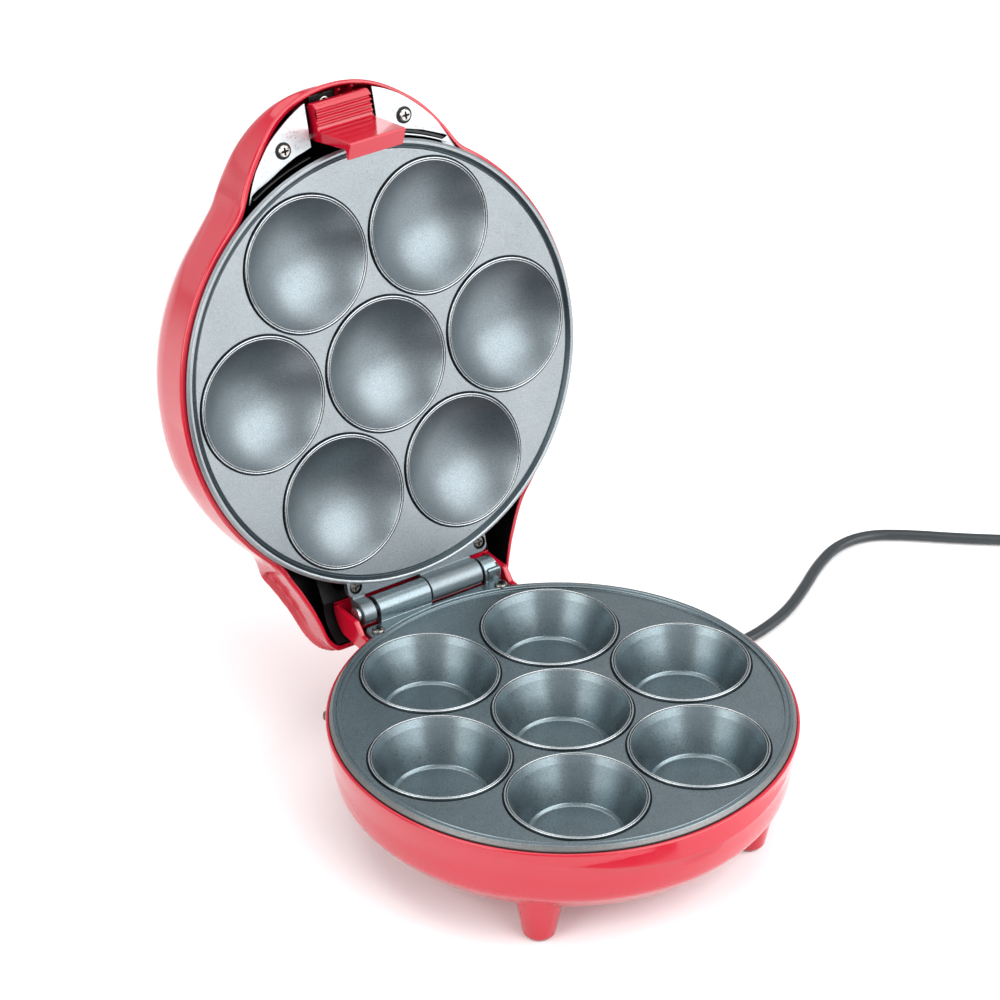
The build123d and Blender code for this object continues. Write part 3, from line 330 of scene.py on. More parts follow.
# ------------------------------------------------------------ mesh helpers
class Build:
    """Collects vertices and faces in millimetres, with a material index for each face."""

    def __init__(self):
        self.v, self.f, self.m = [], [], []

    def add(self, verts, faces, mat=0):
        n = len(self.v)
        self.v += [tuple(p) for p in verts]
        self.f += [tuple(i + n for i in f) for f in faces]
        self.m += [mat] * len(faces)

    def obj(self, name, matrix, mats, body, replaces=(), slot=None, sharp=32.0, weld=0.0004):
        me = bpy.data.meshes.new(name)
        me.from_pydata(self.v, [], self.f)
        me.polygons.foreach_set("material_index", self.m)
        bm = bmesh.new()
        bm.from_mesh(me)
        bmesh.ops.remove_doubles(bm, verts=bm.verts, dist=weld)
        loose = [v for v in bm.verts if not v.link_faces]
        bmesh.ops.delete(bm, geom=loose, context="VERTS")
        bmesh.ops.recalc_face_normals(bm, faces=bm.faces)
        bm.to_mesh(me)
        bm.free()
        me.transform(matrix)
        me.shade_smooth()
        me.set_sharp_from_angle(angle=math.radians(sharp))
        for m in mats:
            me.materials.append(m)
        o = bpy.data.objects.new(name, me)
        SCENE.collection.objects.link(o)
        wn = o.modifiers.new("face_normals", "WEIGHTED_NORMAL")
        wn.keep_sharp = True
        wn.mode = "FACE_AREA"
        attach(o, body)
        if replaces:
            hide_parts(*replaces)
        return o


def rounded(points, radii, n=5):
    """A run of 2D points with its corners rounded; radii by index, 0 keeps a corner."""
    out = [tuple(points[0])]
    for i in range(1, len(points) - 1):
        p0, p, p1 = (np.array(q, float) for q in (points[i - 1], points[i], points[i + 1]))
        r = radii.get(i, 0)
        if r <= 0:
            out.append(tuple(p))
            continue
        a, b = p0 - p, p1 - p
        la, lb = np.linalg.norm(a), np.linalg.norm(b)
        a, b = a / la, b / lb
        half = math.acos(max(-1, min(1, float(a @ b)))) / 2
        t = min(r / math.tan(half), la * 0.49, lb * 0.49)
        q0, q1 = p + a * t, p + b * t
        rr = t * math.tan(half)
        c = p + (a + b) / np.linalg.norm(a + b) * rr / math.sin(half)
        a0, a1 = math.atan2(*(q0 - c)[::-1]), math.atan2(*(q1 - c)[::-1])
        d = (a1 - a0 + math.pi) % (2 * math.pi) - math.pi
        for k in range(n + 1):
            ang = a0 + d * k / n
            out.append((c[0] + rr * math.cos(ang), c[1] + rr * math.sin(ang)))
    out.append(tuple(points[-1]))
    return out


def rounded_loop(points, radii, n=4):
    """A closed outline with its corners rounded; radii is one number or a number for each corner."""
    m = len(points)
    if not hasattr(radii, "__len__"):
        radii = [radii] * m
    out = []
    for i in range(m):
        if radii[i] <= 0:
            out.append(points[i])
            continue
        run = rounded([points[i - 1], points[i], points[(i + 1) % m]], {1: radii[i]}, n)
        out += run[1:-1]
    return out


def lathe(profile, segs, cx=0.0, cy=0.0):
    """Turns (r, z) points about a vertical axis at (cx, cy). Points at r = 0 close the end."""
    verts, rings = [], []
    for r, z in profile:
        if r < 1e-6:
            rings.append([len(verts)])
            verts.append((cx, cy, z))
        else:
            rings.append(list(range(len(verts), len(verts) + segs)))
            verts += [(cx + r * math.cos(2 * math.pi * k / segs), cy + r * math.sin(2 * math.pi * k / segs), z) for k in range(segs)]
    faces = []
    for a, b in zip(rings, rings[1:]):
        if len(a) == 1 and len(b) == 1:
            continue
        for k in range(segs):
            k1 = (k + 1) % segs
            if len(a) == 1:
                faces.append((a[0], b[k1], b[k]))
            elif len(b) == 1:
                faces.append((a[k], a[k1], b[0]))
            else:
                faces.append((a[k], a[k1], b[k1], b[k]))
    return verts, faces


def holed_disc(r_out, n_out, holes, z):
    """A flat disc with round holes: holes is a list of (x, y, r, n)."""
    from mathutils.geometry import delaunay_2d_cdt

    pts, edges = [], []

    def ring(cx, cy, r, n):
        base = len(pts)
        for k in range(n):
            pts.append(Vector((cx + r * math.cos(2 * math.pi * k / n), cy + r * math.sin(2 * math.pi * k / n))))
            edges.append((base + k, base + (k + 1) % n))

    ring(0, 0, r_out, n_out)
    for h in holes:
        ring(*h)
    v, _, f, *_ = delaunay_2d_cdt(pts, edges, [], 1, 1e-6)
    faces = []
    for tri in f:
        c = sum((Vector(v[i]) for i in tri), Vector((0, 0))) / len(tri)
        if c.length < r_out and all(math.hypot(c.x - hx, c.y - hy) > hr * 0.9995 for hx, hy, hr, _ in holes):
            faces.append(tuple(tri))
    return [(p[0], p[1], z) for p in v], faces


def extrude_poly(poly, axis, a, b, bevel=0.0, seg=3, extra=()):
    """A closed 2D outline drawn out from a to b along an axis, its end edges rounded by bevel."""
    n = len(poly)
    pts = np.array(poly, float)
    area = 0.5 * np.sum(pts[:, 0] * np.roll(pts[:, 1], -1) - np.roll(pts[:, 0], -1) * pts[:, 1])
    if area < 0:
        pts = pts[::-1]

    def inset(d):
        prev, nxt = np.roll(pts, 1, 0), np.roll(pts, -1, 0)
        e0, e1 = pts - prev, nxt - pts
        e0 /= np.maximum(np.linalg.norm(e0, axis=1)[:, None], 1e-9)
        e1 /= np.maximum(np.linalg.norm(e1, axis=1)[:, None], 1e-9)
        n0, n1 = np.stack([-e0[:, 1], e0[:, 0]], 1), np.stack([-e1[:, 1], e1[:, 0]], 1)
        m = n0 + n1
        m /= np.maximum((m * m).sum(1)[:, None] / 2, 0.35)
        return pts + m * d

    layers = []
    if bevel > 0:
        for k in range(seg + 1):
            t = math.pi / 2 * k / seg
            layers.append((a + bevel * (1 - math.sin(t)), bevel * (1 - math.cos(t))))
        layers = layers[::-1]
        layers += [(a + b - s, d) for s, d in reversed(layers)]
    else:
        layers = [(a, 0.0), (b, 0.0)]
    verts, faces = [], []
    for s, d in layers:
        for p, q in inset(d):
            verts.append({"x": (s, p, q), "y": (p, s, q), "z": (p, q, s)}[axis])
    for j in range(len(layers) - 1):
        for k in range(n):
            k1 = (k + 1) % n
            faces.append((j * n + k, j * n + k1, (j + 1) * n + k1, (j + 1) * n + k))
    faces.append(tuple(range(n))[::-1])
    faces.append(tuple(range((len(layers) - 1) * n, len(layers) * n)))
    return verts, faces


def catmull(points, per=8, closed=False):
    """A smooth line through points."""
    p = np.array(points, float)
    n = len(p)
    out = []
    for i in range(n if closed else n - 1):
        p0, p1 = p[(i - 1) % n] if closed or i > 0 else 2 * p[0] - p[1], p[i]
        p2, p3 = p[(i + 1) % n], p[(i + 2) % n] if closed or i + 2 < n else 2 * p[-1] - p[-2]
        for k in range(per):
            t = k / per
            out.append(0.5 * ((2 * p1) + (p2 - p0) * t + (2 * p0 - 5 * p1 + 4 * p2 - p3) * t * t + (3 * p1 - p0 - 3 * p2 + p3) * t ** 3))
    if not closed:
        out.append(p[-1])
    return np.array(out)


CUPS = [(0.0, 0.0)] + [(66.0 * math.cos(math.radians(a)), 66.0 * math.sin(math.radians(a))) for a in range(0, 360, 60)]
CUP_SEG, RIM_SEG = 112, 288


# -------------------------------------------------------------- the plates
def tab_outline(r_in, x, y1, corner):
    """Plan of the hinge tab: an arc along the plate's rim and two rounded outer corners."""
    a0 = math.asin(x / r_in)
    arc = [(r_in * math.sin(a), r_in * math.cos(a)) for a in np.linspace(-a0, a0, 25)]
    outer = rounded([arc[-1], (x, y1), (-x, y1), arc[0]], {1: corner, 2: corner}, 6)
    return arc + outer[1:-1]


def pan_recess(b, poly, z_face, up, holes, mat_floor=1):
    """The face of a flat tab at z_face with round recesses: holes are (x, y, r, depth). up is the way the face looks."""
    from mathutils.geometry import delaunay_2d_cdt

    n = 40
    pts = [Vector(p) for p in poly]
    edges = [(k, (k + 1) % len(poly)) for k in range(len(poly))]
    for x, y, r, _ in holes:
        base = len(pts)
        pts += [Vector((x + r * math.cos(2 * math.pi * k / n), y + r * math.sin(2 * math.pi * k / n))) for k in range(n)]
        edges += [(base + k, base + (k + 1) % n) for k in range(n)]
    v, _, f, *_ = delaunay_2d_cdt(pts, edges, [], 1, 1e-6)
    px, py = np.array([q[0] for q in poly]), np.array([q[1] for q in poly])

    def inside(c):
        hit = False
        j = len(px) - 1
        for i in range(len(px)):
            if (py[i] > c.y) != (py[j] > c.y) and c.x < (px[j] - px[i]) * (c.y - py[i]) / (py[j] - py[i]) + px[i]:
                hit = not hit
            j = i
        return hit

    keep = []
    for t in f:
        c = sum((Vector(v[i]) for i in t), Vector((0, 0))) / len(t)
        if inside(c) and all(math.hypot(c.x - x, c.y - y) > r * 0.999 for x, y, r, _ in holes):
            keep.append(tuple(t))
    b.add([(q[0], q[1], z_face) for q in v], keep, 0)
    for x, y, r, depth in holes:
        # each recess's walls and floor take mat_floor; the upper tab passes the near-black recess material, painted
        # shade
        b.add(*lathe([(r, z_face), (r - 0.12, z_face - up * 0.12), (r - 0.15, z_face - up * depth), (0, z_face - up * depth)], n, x, y), mat_floor)


def ring_profile(z, up):
    """Section of the bead round a cup, from the flat field inward: a fine groove, a broad crest, a second groove and a narrow crest."""
    run = [(32.6, 0.0), (32.5, 0.0), (32.25, -0.75), (32.05, -0.75), (31.65, 0.9), (31.3, 1.1), (31.0, 0.9), (30.85, -0.1), (30.75, -0.1), (30.6, 0.75), (30.35, 0.95), (30.1, 0.75)]
    rad = {1: 0.08, 2: 0.1, 3: 0.1, 4: 0.35, 5: 0.4, 6: 0.25, 7: 0.05, 8: 0.05, 9: 0.2, 10: 0.3}
    return [(r, z + up * h) for r, h in rounded(run, rad, 4)]


RING_R, FIELD_R = 32.6, 98.85


def lathe_grooved(b, profile, segs, cx, cy, level, up, mats, r_min=0.0, crest=1e9):
    """A lathe whose parts below the level take the groove's material, a near-black copy of the coating that paints
    shade into the groove, and above the crest's level the crest's, a light copy that paints a highlight on the crest.
    """
    run, now = [profile[0]], None
    for p, q in zip(profile, profile[1:]):
        h = (p[1] + q[1]) / 2 * up
        k = 0 if p[0] <= r_min else 1 if h < level * up else 2 if h > crest * up else 0
        if now is not None and k != now:
            b.add(*lathe(run, segs, cx, cy), mats[now])
            run = [p]
        run.append(q)
        now = k
    b.add(*lathe(run, segs, cx, cy), mats[now])


def lower_plate():
    b = Build()
    wall = rounded([(30.1, 59.85), (28.6, 56.7), (21.4, 40.0), (20.1, 39.0), (0, 39.0)], {1: 3.0, 2: 1.3, 3: 1.0}, 5)
    cup = ring_profile(59.0, 1)[:-1] + wall
    under = [(0, 36.8), (22.0, 36.8), (23.4, 38.6), (30.8, 56.0), (RING_R, 56.0)]
    for cx, cy in CUPS:
        # the bead's grooves in painted shade, its crests in a painted highlight
        lathe_grooved(b, cup, CUP_SEG, cx, cy, 59.3, 1, (0, 2, 3), 30.25, 59.72)
        b.add(*lathe(under, CUP_SEG, cx, cy))
    rim = rounded([(FIELD_R, 59.0), (99.1, 58.98), (99.3, 59.95), (99.6, 60.05), (100.9, 60.1), (101.1, 59.7), (101.35, 59.7), (101.55, 60.05), (102.9, 60.0), (103.2, 59.8)],
                  {1: 0.12, 2: 0.25, 3: 0.3, 4: 0.25, 5: 0.08, 6: 0.08, 7: 0.25, 8: 0.3}, 4)
    edge = rounded([(103.2, 59.8), (104.55, 58.2), (103.6, 55.0), (98.6, 55.0), (FIELD_R, 56.0)], {1: 0.7, 2: 0.6, 3: 0.3}, 4)
    b.add(*lathe(rim, RIM_SEG))
    b.add(*lathe(edge, RIM_SEG), 1)
    holes = [(cx, cy, RING_R, CUP_SEG) for cx, cy in CUPS]
    b.add(*holed_disc(FIELD_R, RIM_SEG, holes, 59.0))
    b.add(*holed_disc(FIELD_R, RIM_SEG, holes, 56.0))
    b.add(*extrude_poly(tab_outline(101.6, 38.4, 104.2, 2.6), "z", 55.2, 59.5, 0.45))
    for x0, x1, r in ((-28.5, -0.35, 6.25), (30.0, 36.8, 5.7)):
        sec = [(HY + r * math.cos(a), HZ + r * math.sin(a)) for a in np.linspace(math.radians(-62), math.radians(168), 44)]
        sec += [(104.75, HZ - 0.3), (104.75, 59.9), (104.4, 59.4), (103.4, 59.3), (102.4, 59.2), (102.4, 56.8)]
        b.add(*extrude_poly(sec, "x", x0, x1, 0.3))
    # the foot of the small barrel, cast as a block
    b.add(*extrude_poly([(104.1, 57.0), (104.1, 64.6), (104.9, 65.6), (108.0, 66.2), (112.0, 66.2), (112.0, 57.0)], "x", 31.4, 38.2, 0.5))
    return b.obj("lower_plate_cast", BASE_M, [MAT["nonstick_dark"], MAT["plate_edge"], MAT["groove"], MAT["crest"]], "base", ("lower_plate",), "nonstick_dark", sharp=38.0)


def upper_plate():
    b = Build()
    apex = 38.4 + 41.1
    a_edge = math.asin(30.05 / 41.1)
    arc = [(41.1 * math.sin(a), 38.4 + 41.1 * math.cos(a)) for a in np.linspace(a_edge, 0.0, 26)]
    arc[-1] = (0.0, apex)
    dome = ring_profile(67.0, -1)[:-1] + [(30.2, 66.2)] + arc
    back = [(0, 81.9)] + [(43.5 * math.sin(a), 38.4 + 43.5 * math.cos(a)) for a in np.linspace(0.08, 0.76, 10)] + [(RING_R, 70.0)]
    for cx, cy in CUPS:
        # the bead's grooves in painted shade, its crests in a painted highlight
        lathe_grooved(b, dome, CUP_SEG, cx, cy, 66.8, -1, (0, 5, 6), 30.05, 66.3)
        b.add(*lathe(back, CUP_SEG, cx, cy))
    rim = rounded([(FIELD_R, 67.0), (99.1, 67.0), (99.8, 67.85), (100.25, 67.85), (101.7, 66.05), (102.3, 65.95), (102.8, 65.95), (103.0, 66.2)],
                  {1: 0.15, 2: 0.3, 3: 0.3, 4: 0.4, 5: 0.3, 6: 0.2}, 4)
    edge = rounded([(103.0, 66.2), (104.1, 67.0), (103.3, 68.7), (101.5, 68.7), (101.5, 70.0), (FIELD_R, 70.0)], {1: 0.7, 2: 0.4, 3: 0.3}, 4)
    # the rim's groove in painted shade
    lathe_grooved(b, rim, RIM_SEG, 0, 0, 66.3, -1, (3, 5, 3), 99.2)
    b.add(*lathe(edge, RIM_SEG), 1)
    holes = [(cx, cy, RING_R, CUP_SEG) for cx, cy in CUPS]
    # the field, in the lighter copy of the coating (painted sheen)
    b.add(*holed_disc(FIELD_R, RIM_SEG, holes, 67.0), 2)
    b.add(*holed_disc(FIELD_R, RIM_SEG, holes, 70.0))
    outline = tab_outline(102.6, 38.4, 104.2, 3.4)
    v, f = extrude_poly(outline, "z", 66.25, 70.0, 0.4)
    n = len(outline)
    low = [q for q in v if abs(q[2] - 66.25) < 1e-6][:n]
    f = [q for q in f if len(q) != n or v[q[0]][2] > 67.0]
    b.add(v, f, 3)
    pan_recess(b, [(q[0], q[1]) for q in low], 66.25, -1, [(x, 99.2, 3.3, 1.7) for x in (-34.2, 34.7)], 4)
    for x0, x1, r in ((-36.8, -30.2, 5.7), (0.35, 28.5, 6.25)):
        sec = [(HY + r * math.cos(a), HZ + r * math.sin(a)) for a in np.linspace(math.radians(62), math.radians(-180), 44)]
        sec += [(104.75, 66.2), (102.4, 66.4), (102.4, 69.2)]
        b.add(*extrude_poly(sec, "x", x0, x1, 0.3))
    return b.obj("upper_plate_cast", LID_M, [MAT["nonstick_grey"], MAT["plate_edge_upper"], MAT["field_grey"], MAT["rim_grey"], MAT["recess"], MAT["groove"], MAT["crest"]], "lid", ("upper_plate",), "nonstick_grey", sharp=38.0)


# --------------------------------------------------------------- lid shell
BUMP_IN = [(60.5, -83.0), (58.4, -85.4), (55.3, -90.4), (52.0, -96.5), (48.0, -102.6), (44.0, -107.8), (40.0, -112.1), (35.0, -116.4), (30.0, -120.1), (24.0, -123.7),
           (18.0, -126.3), (12.0, -128.0), (6.0, -129.0), (0.0, -129.3)]


def bump_line(inset=0.0):
    """The grip bulge's inner rim line from left to right, moved outward by a negative inset (one number, or one for each x)."""
    pts = [(-x, y) for x, y in BUMP_IN[:-1]] + [BUMP_IN[-1]] + [(x, y) for x, y in reversed(BUMP_IN[:-1])]
    line = catmull(pts, 10)
    t = np.gradient(line, axis=0)
    t /= np.linalg.norm(t, axis=1)[:, None]
    if not np.isscalar(inset):
        inset = np.interp(line[:, 0], *inset)[:, None]
    return line + np.stack([-t[:, 1], t[:, 0]], 1) * inset


# outline of the lid's outer wall at its top edge: angle from the hinge axis in degrees, radius
WALL_TOP = [(-180, 104.6), (-150, 104.6), (-141, 104.85), (-137, 104.85), (-133, 105.05), (-129, 105.4), (-126, 105.75), (-123, 106.1), (-120, 107.4), (-117, 111.4), (-114, 116.7),
            (-111, 121.4), (-108, 125.2), (-105, 128.2), (-102, 130.4), (-98, 131.5), (-94, 131.3), (-90, 131.2)]


HOOD_RIM = [(84.0, 62.0), (75.4, 72.6), (67.1, 84.9), (61.1, 95.8), (56.1, 106.6), (52.9, 115.5), (50.4, 124.4)]
N_TH = 720


def blur(values, sigma_deg):
    """Smooths a closed row of values by a Gaussian."""
    n = len(values)
    s = sigma_deg * n / 360.0
    k = np.arange(-int(4 * s) - 1, int(4 * s) + 2)
    w = np.exp(-0.5 * (k / s) ** 2)
    w /= w.sum()
    return sum(wi * np.roll(values, -ki) for wi, ki in zip(w, k))


def smax(a, b, k):
    h = np.clip(0.5 + 0.5 * (b - a) / k, 0, 1)
    return a * (1 - h) + b * h + k * h * (1 - h)


def polar_outline(points, th):
    """Radius of an outline at each angle, None where it has none."""
    p = np.array(points, float)
    a = np.arctan2(p[:, 1], p[:, 0])
    r = np.hypot(p[:, 0], p[:, 1])
    o = np.argsort(a)
    return np.interp(th, a[o], r[o], left=0, right=0)


def lid_edges():
    th = np.linspace(-math.pi, math.pi, N_TH, endpoint=False)
    rb_out = polar_outline(bump_line(([-62, -30, -12, 10, 62], [-3.0, -3.0, -2.3, -2.0, -2.0])), th)
    rb_in = polar_outline(bump_line(0.0), th)
    right = HOOD_RIM + [(46.0, 129.0)]
    hood = rounded(right + [(-x, y) for x, y in reversed(right)], {i: 14.0 for i in range(1, 7)} | {i: 14.0 for i in range(9, 15)} | {7: 3.5, 8: 3.5, 6: 3.5}, 6)
    dense = []
    for p, q in zip(hood, hood[1:]):
        for t in np.linspace(0, 1, 12, endpoint=False):
            dense.append((p[0] + (q[0] - p[0]) * t, p[1] + (q[1] - p[1]) * t))
    rh = polar_outline(dense + [hood[-1]], th)
    disc = np.full(N_TH, 105.8)
    front = blur(smax(disc, np.where(rb_out > 0, rb_out, 0), 1.6), 0.7)
    front_in = blur(smax(disc - 3.2, np.where(rb_in > 0, rb_in, 0), 1.6), 0.7)
    rear = blur(smax(disc, np.where(rh > 0, rh, 0), 1.6), 0.35)
    r = np.where(th < 0, front, rear)
    rear_t = 2.6 + 0.6 * (1 - np.clip((rear - 105.8) / 4.0, 0, 1))
    r_in = np.where(th < 0, front_in, rear - rear_t)
    ax = [0, 12, 18, 24, 30, 35, 40, 44, 48, 52, 55, 58, 62, 66]
    az = [78.3, 78.2, 77.9, 77.5, 76.7, 75.5, 74.2, 73.5, 73.0, 72.3, 71.6, 70.6, 69.6, 69.2]
    x = np.abs(r_in * np.cos(th))
    z = np.where((th < 0) & (x < 66), np.interp(x, ax, az), 69.2)
    hood_in = np.clip((rear - 106.2) / 4.0, 0, 1)
    z = np.where(th > 0, 69.2 + 2.2 * hood_in * hood_in * (3 - 2 * hood_in), z)
    return th, r, r_in, blur(z, 1.0)


CROWN_R = np.array([0, 40.0, 68.0, 80.0, 90.0, 97.0, 102.3, 104.3, 105.0, 105.4, 105.8])
CROWN_Z = np.array([123.0, 122.5, 120.1, 116.6, 112.6, 106.9, 98.0, 90.0, 80.0, 72.0, 69.2])


def crown_curve():
    """The round part's section as a dense run of (r, z), smooth through its points."""
    pts = catmull(list(zip(CROWN_R, CROWN_Z)), 24)
    pts[:, 0] = np.maximum.accumulate(pts[:, 0])
    return pts


def lid_shell():
    th, edge, inner_edge, rim_z = lid_edges()
    cr = crown_curve()
    by = np.array([-140.0, -135.0, -130.0, -120.0, -108.0, -97.0, -88.0, -68.0, 0.0])
    bz = np.array([85.0, 87.3, 89.6, 94.9, 100.6, 105.3, 106.8, 104.0, 100.0])
    hy = np.array([0.0, 60.0, 80.0, 97.0, 107.0, 114.5, 119.0, 123.5, 127.0, 129.0, 132.0])
    hz = np.array([104.0, 101.0, 97.5, 94.8, 93.6, 93.0, 91.6, 88.4, 84.3, 81.0, 76.0])
    k_out = 92
    rows_r, rows_z = [], []

    def crown(R):
        return np.where(R > 105.8, 69.2 - (R - 105.8) * 8.0, np.interp(R, cr[:, 0], cr[:, 1]))

    wall = catmull(WALL_TOP + [(-180 - a, r) for a, r in reversed(WALL_TOP[:-1])], 8)
    e2 = np.where(th < 0, np.interp(np.degrees(th), wall[:, 0], wall[:, 1]), 104.6)
    flat = np.clip((np.degrees(th) + 94.0) / 8.0, 0, 1)
    e2 = np.where(th < 0, np.minimum(e2, edge - 1.2) * flat + e2 * (1 - flat), e2)
    e2 = blur(e2, 1.2)
    for t, e, rz, top_r in zip(th, edge, rim_z, e2):
        d = np.concatenate([np.linspace(0, 1, 60) ** 2 * 3.0, np.linspace(3.05, max(e - 90.0, 16.0), 420), np.linspace(max(e - 89.9, 16.1), e - 2.0, 80)])
        lean = 0.0
        g = np.clip((e - d - 60.0) / (e - 60.0), 0, 1)
        z = crown(e - d - (e - 105.8) * g * g * (3 - 2 * g))
        if t < 0:
            lean = e - top_r
            R = top_r - d
            w = min(max((top_r - 104.8) / 2.5, 0), 1)
            w = w * w * (3 - 2 * w)
            g = np.clip((R - 60.0) / (top_r - 60.0), 0, 1)
            z = crown(R - (top_r - 104.6) * g * g * (3 - 2 * g))
            rs = 9.0
            sh = np.where(d < rs, rs - np.sqrt(np.maximum(rs ** 2 - (rs - d) ** 2, 0)), 0)
            full = smax(crown(R), np.interp(R * math.sin(t), by, bz) - sh * 0.9, 3.0)
            z = z * (1 - w) + full * w
        if t > 0 and e > 105.82:
            w = min(max((e - 105.8) / 3.5, 0), 1)
            w = w * w * (3 - 2 * w)
            R = e - d
            rs = 3.6
            sh = np.where(d < rs, rs - np.sqrt(np.maximum(rs ** 2 - (rs - d) ** 2, 0)), 0)
            full = smax(crown(R), np.interp(R * math.sin(t), hy, hz) - sh, 2.4)
            z = z * (1 - w) + full * w
        R = e - d - lean
        if t > 0:
            side = min(math.degrees(t), 180 - math.degrees(t))
            flare = 0.9 * min(side / 14.0, 1.0) * (1 - 0.6 * min(max((side - 14.0) / 10.0, 0), 1)) + (3.0 * w * min(max((side - 26.0) / 24.0, 0), 1) if e > 105.82 else 0.0) * min(max((96 - side) / 12.0, 0), 1)
            R = R + flare * np.clip((z - 70.5) / 13.0, 0, 1) * np.clip((R - 60.0) / 40.0, 0, 1)
        z0 = rz + 1.1
        z = np.maximum(z, z0 + 0.02)
        # the wall from the rim up to the first point, then the top
        up = np.linspace(z0, z[0], 12)[:-1] if z[0] > z0 + 0.3 else np.array([z0])
        Rw = e - lean * (up - z0) / max(z[0] - z0, 0.3)
        line_r, line_z = np.concatenate([Rw, R]), np.concatenate([up, z])
        s = np.concatenate([[0], np.cumsum(np.hypot(np.diff(line_r), np.diff(line_z)))])
        at = s[-1] * np.linspace(0, 1, k_out) ** 1.35
        rows_r.append(np.interp(at, s, line_r))
        rows_z.append(np.interp(at, s, line_z))
    rr, zz = np.array(rows_r), np.array(rows_z)          # (angle, step)
    front = (th < -0.2) & (th > 0.2 - math.pi)
    for k in range(15):                                  # evens out small steps from the sampling, and eases the bulge into the round part
        keep = 1 if k < 3 else 8
        on = np.ones(N_TH, bool) if k < 3 else front
        r_new = (np.roll(rr, 1, 0) + 2 * rr + np.roll(rr, -1, 0)) / 4
        z_new = (np.roll(zz, 1, 0) + 2 * zz + np.roll(zz, -1, 0)) / 4
        rr[on, keep:] = r_new[on, keep:]
        zz[on, keep:] = z_new[on, keep:]
    zz[:, -1] = 122.99
    wall_t = edge - inner_edge
    # inner surface: the outer one moved in along its section's normals
    dr, dz = np.gradient(rr, axis=1), np.gradient(zz, axis=1)
    ln = np.maximum(np.hypot(dr, dz), 1e-6)
    nr, nz = -dz / ln, dr / ln                           # points inward: left of the way up and in
    t_in = np.broadcast_to(wall_t[:, None], rr.shape)
    ir = rr + nr * t_in * np.where(nr > 0, -1, 1) * 1.0
    iz = zz - np.abs(nz) * t_in
    ir = np.minimum(ir, (edge - wall_t)[:, None])
    ir = np.minimum(rr - 0.2, ir)
    iz = np.maximum(iz, (rim_z + 0.9)[:, None])
    b = Build()
    cos, sin = np.cos(th), np.sin(th)
    loops = []
    # rim, rounded outside and inside
    ro, ri = 1.15, 0.55
    for k in range(k_out - 1, -1, -1):
        loops.append((rr[:, k], zz[:, k], 0))
    for a in np.linspace(0, math.pi / 2, 6)[1:]:
        loops.append((edge - ro + ro * np.cos(a), rim_z + ro - ro * np.sin(a), 0))
    inner = inner_edge
    for a in np.linspace(math.pi / 2, 0, 4):
        loops.append((inner + ri - ri * np.cos(a), rim_z + ri - ri * np.sin(a), 0))
    for k in range(0, k_out):
        loops.append((ir[:, k], iz[:, k], 1))
    n = N_TH
    verts = []
    for R, Z, _ in loops:
        verts += list(zip(R * cos, R * sin, np.broadcast_to(Z, R.shape)))
    for j in range(len(loops) - 1):
        dark = loops[j][2] == 1 or loops[j + 1][2] == 1
        faces, mats = [], []
        for i in range(n):
            i1 = (i + 1) % n
            faces.append((j * n + i, j * n + i1, (j + 1) * n + i1, (j + 1) * n + i))
        if j == 0:
            b.v = [tuple(map(float, p)) for p in verts]
        b.f += faces
        if dark:
            # inner faces are black plastic; inside the grip bulge they take the darker red, painted shade
            b.m += [2 if (th[i] < 0 and loops[j][0][i] > 121.0) else 1 for i in range(n)]
        else:
            b.m += [0] * n
    top = len(b.v)
    b.v.append((0, 0, 123.0))
    b.f += [(top, (i + 1) % n, i) for i in range(n)]
    b.m += [0] * n
    last = (len(loops) - 1) * n
    b.v.append((0, 0, 120.4))
    b.f += [(top + 1, last + i, last + (i + 1) % n) for i in range(n)]
    b.m += [1] * n
    # two stiffening ribs inside the grip
    for x in (4.6, 11.6):
        b.add(*extrude_poly([(-127.4, 80.2), (-127.4, 82.6), (-121.5, 88.0), (-121.5, 85.4), (-125.6, 81.8), (-126.4, 80.2)], "x", x, x + 1.2, 0.25), 0)
    return b.obj("lid_shell_moulded", LID_M, [MAT["red_plastic"], MAT["black_plastic"], MAT["red_inner"]], "lid", ("lid_shell",), "red_plastic", sharp=40.0)


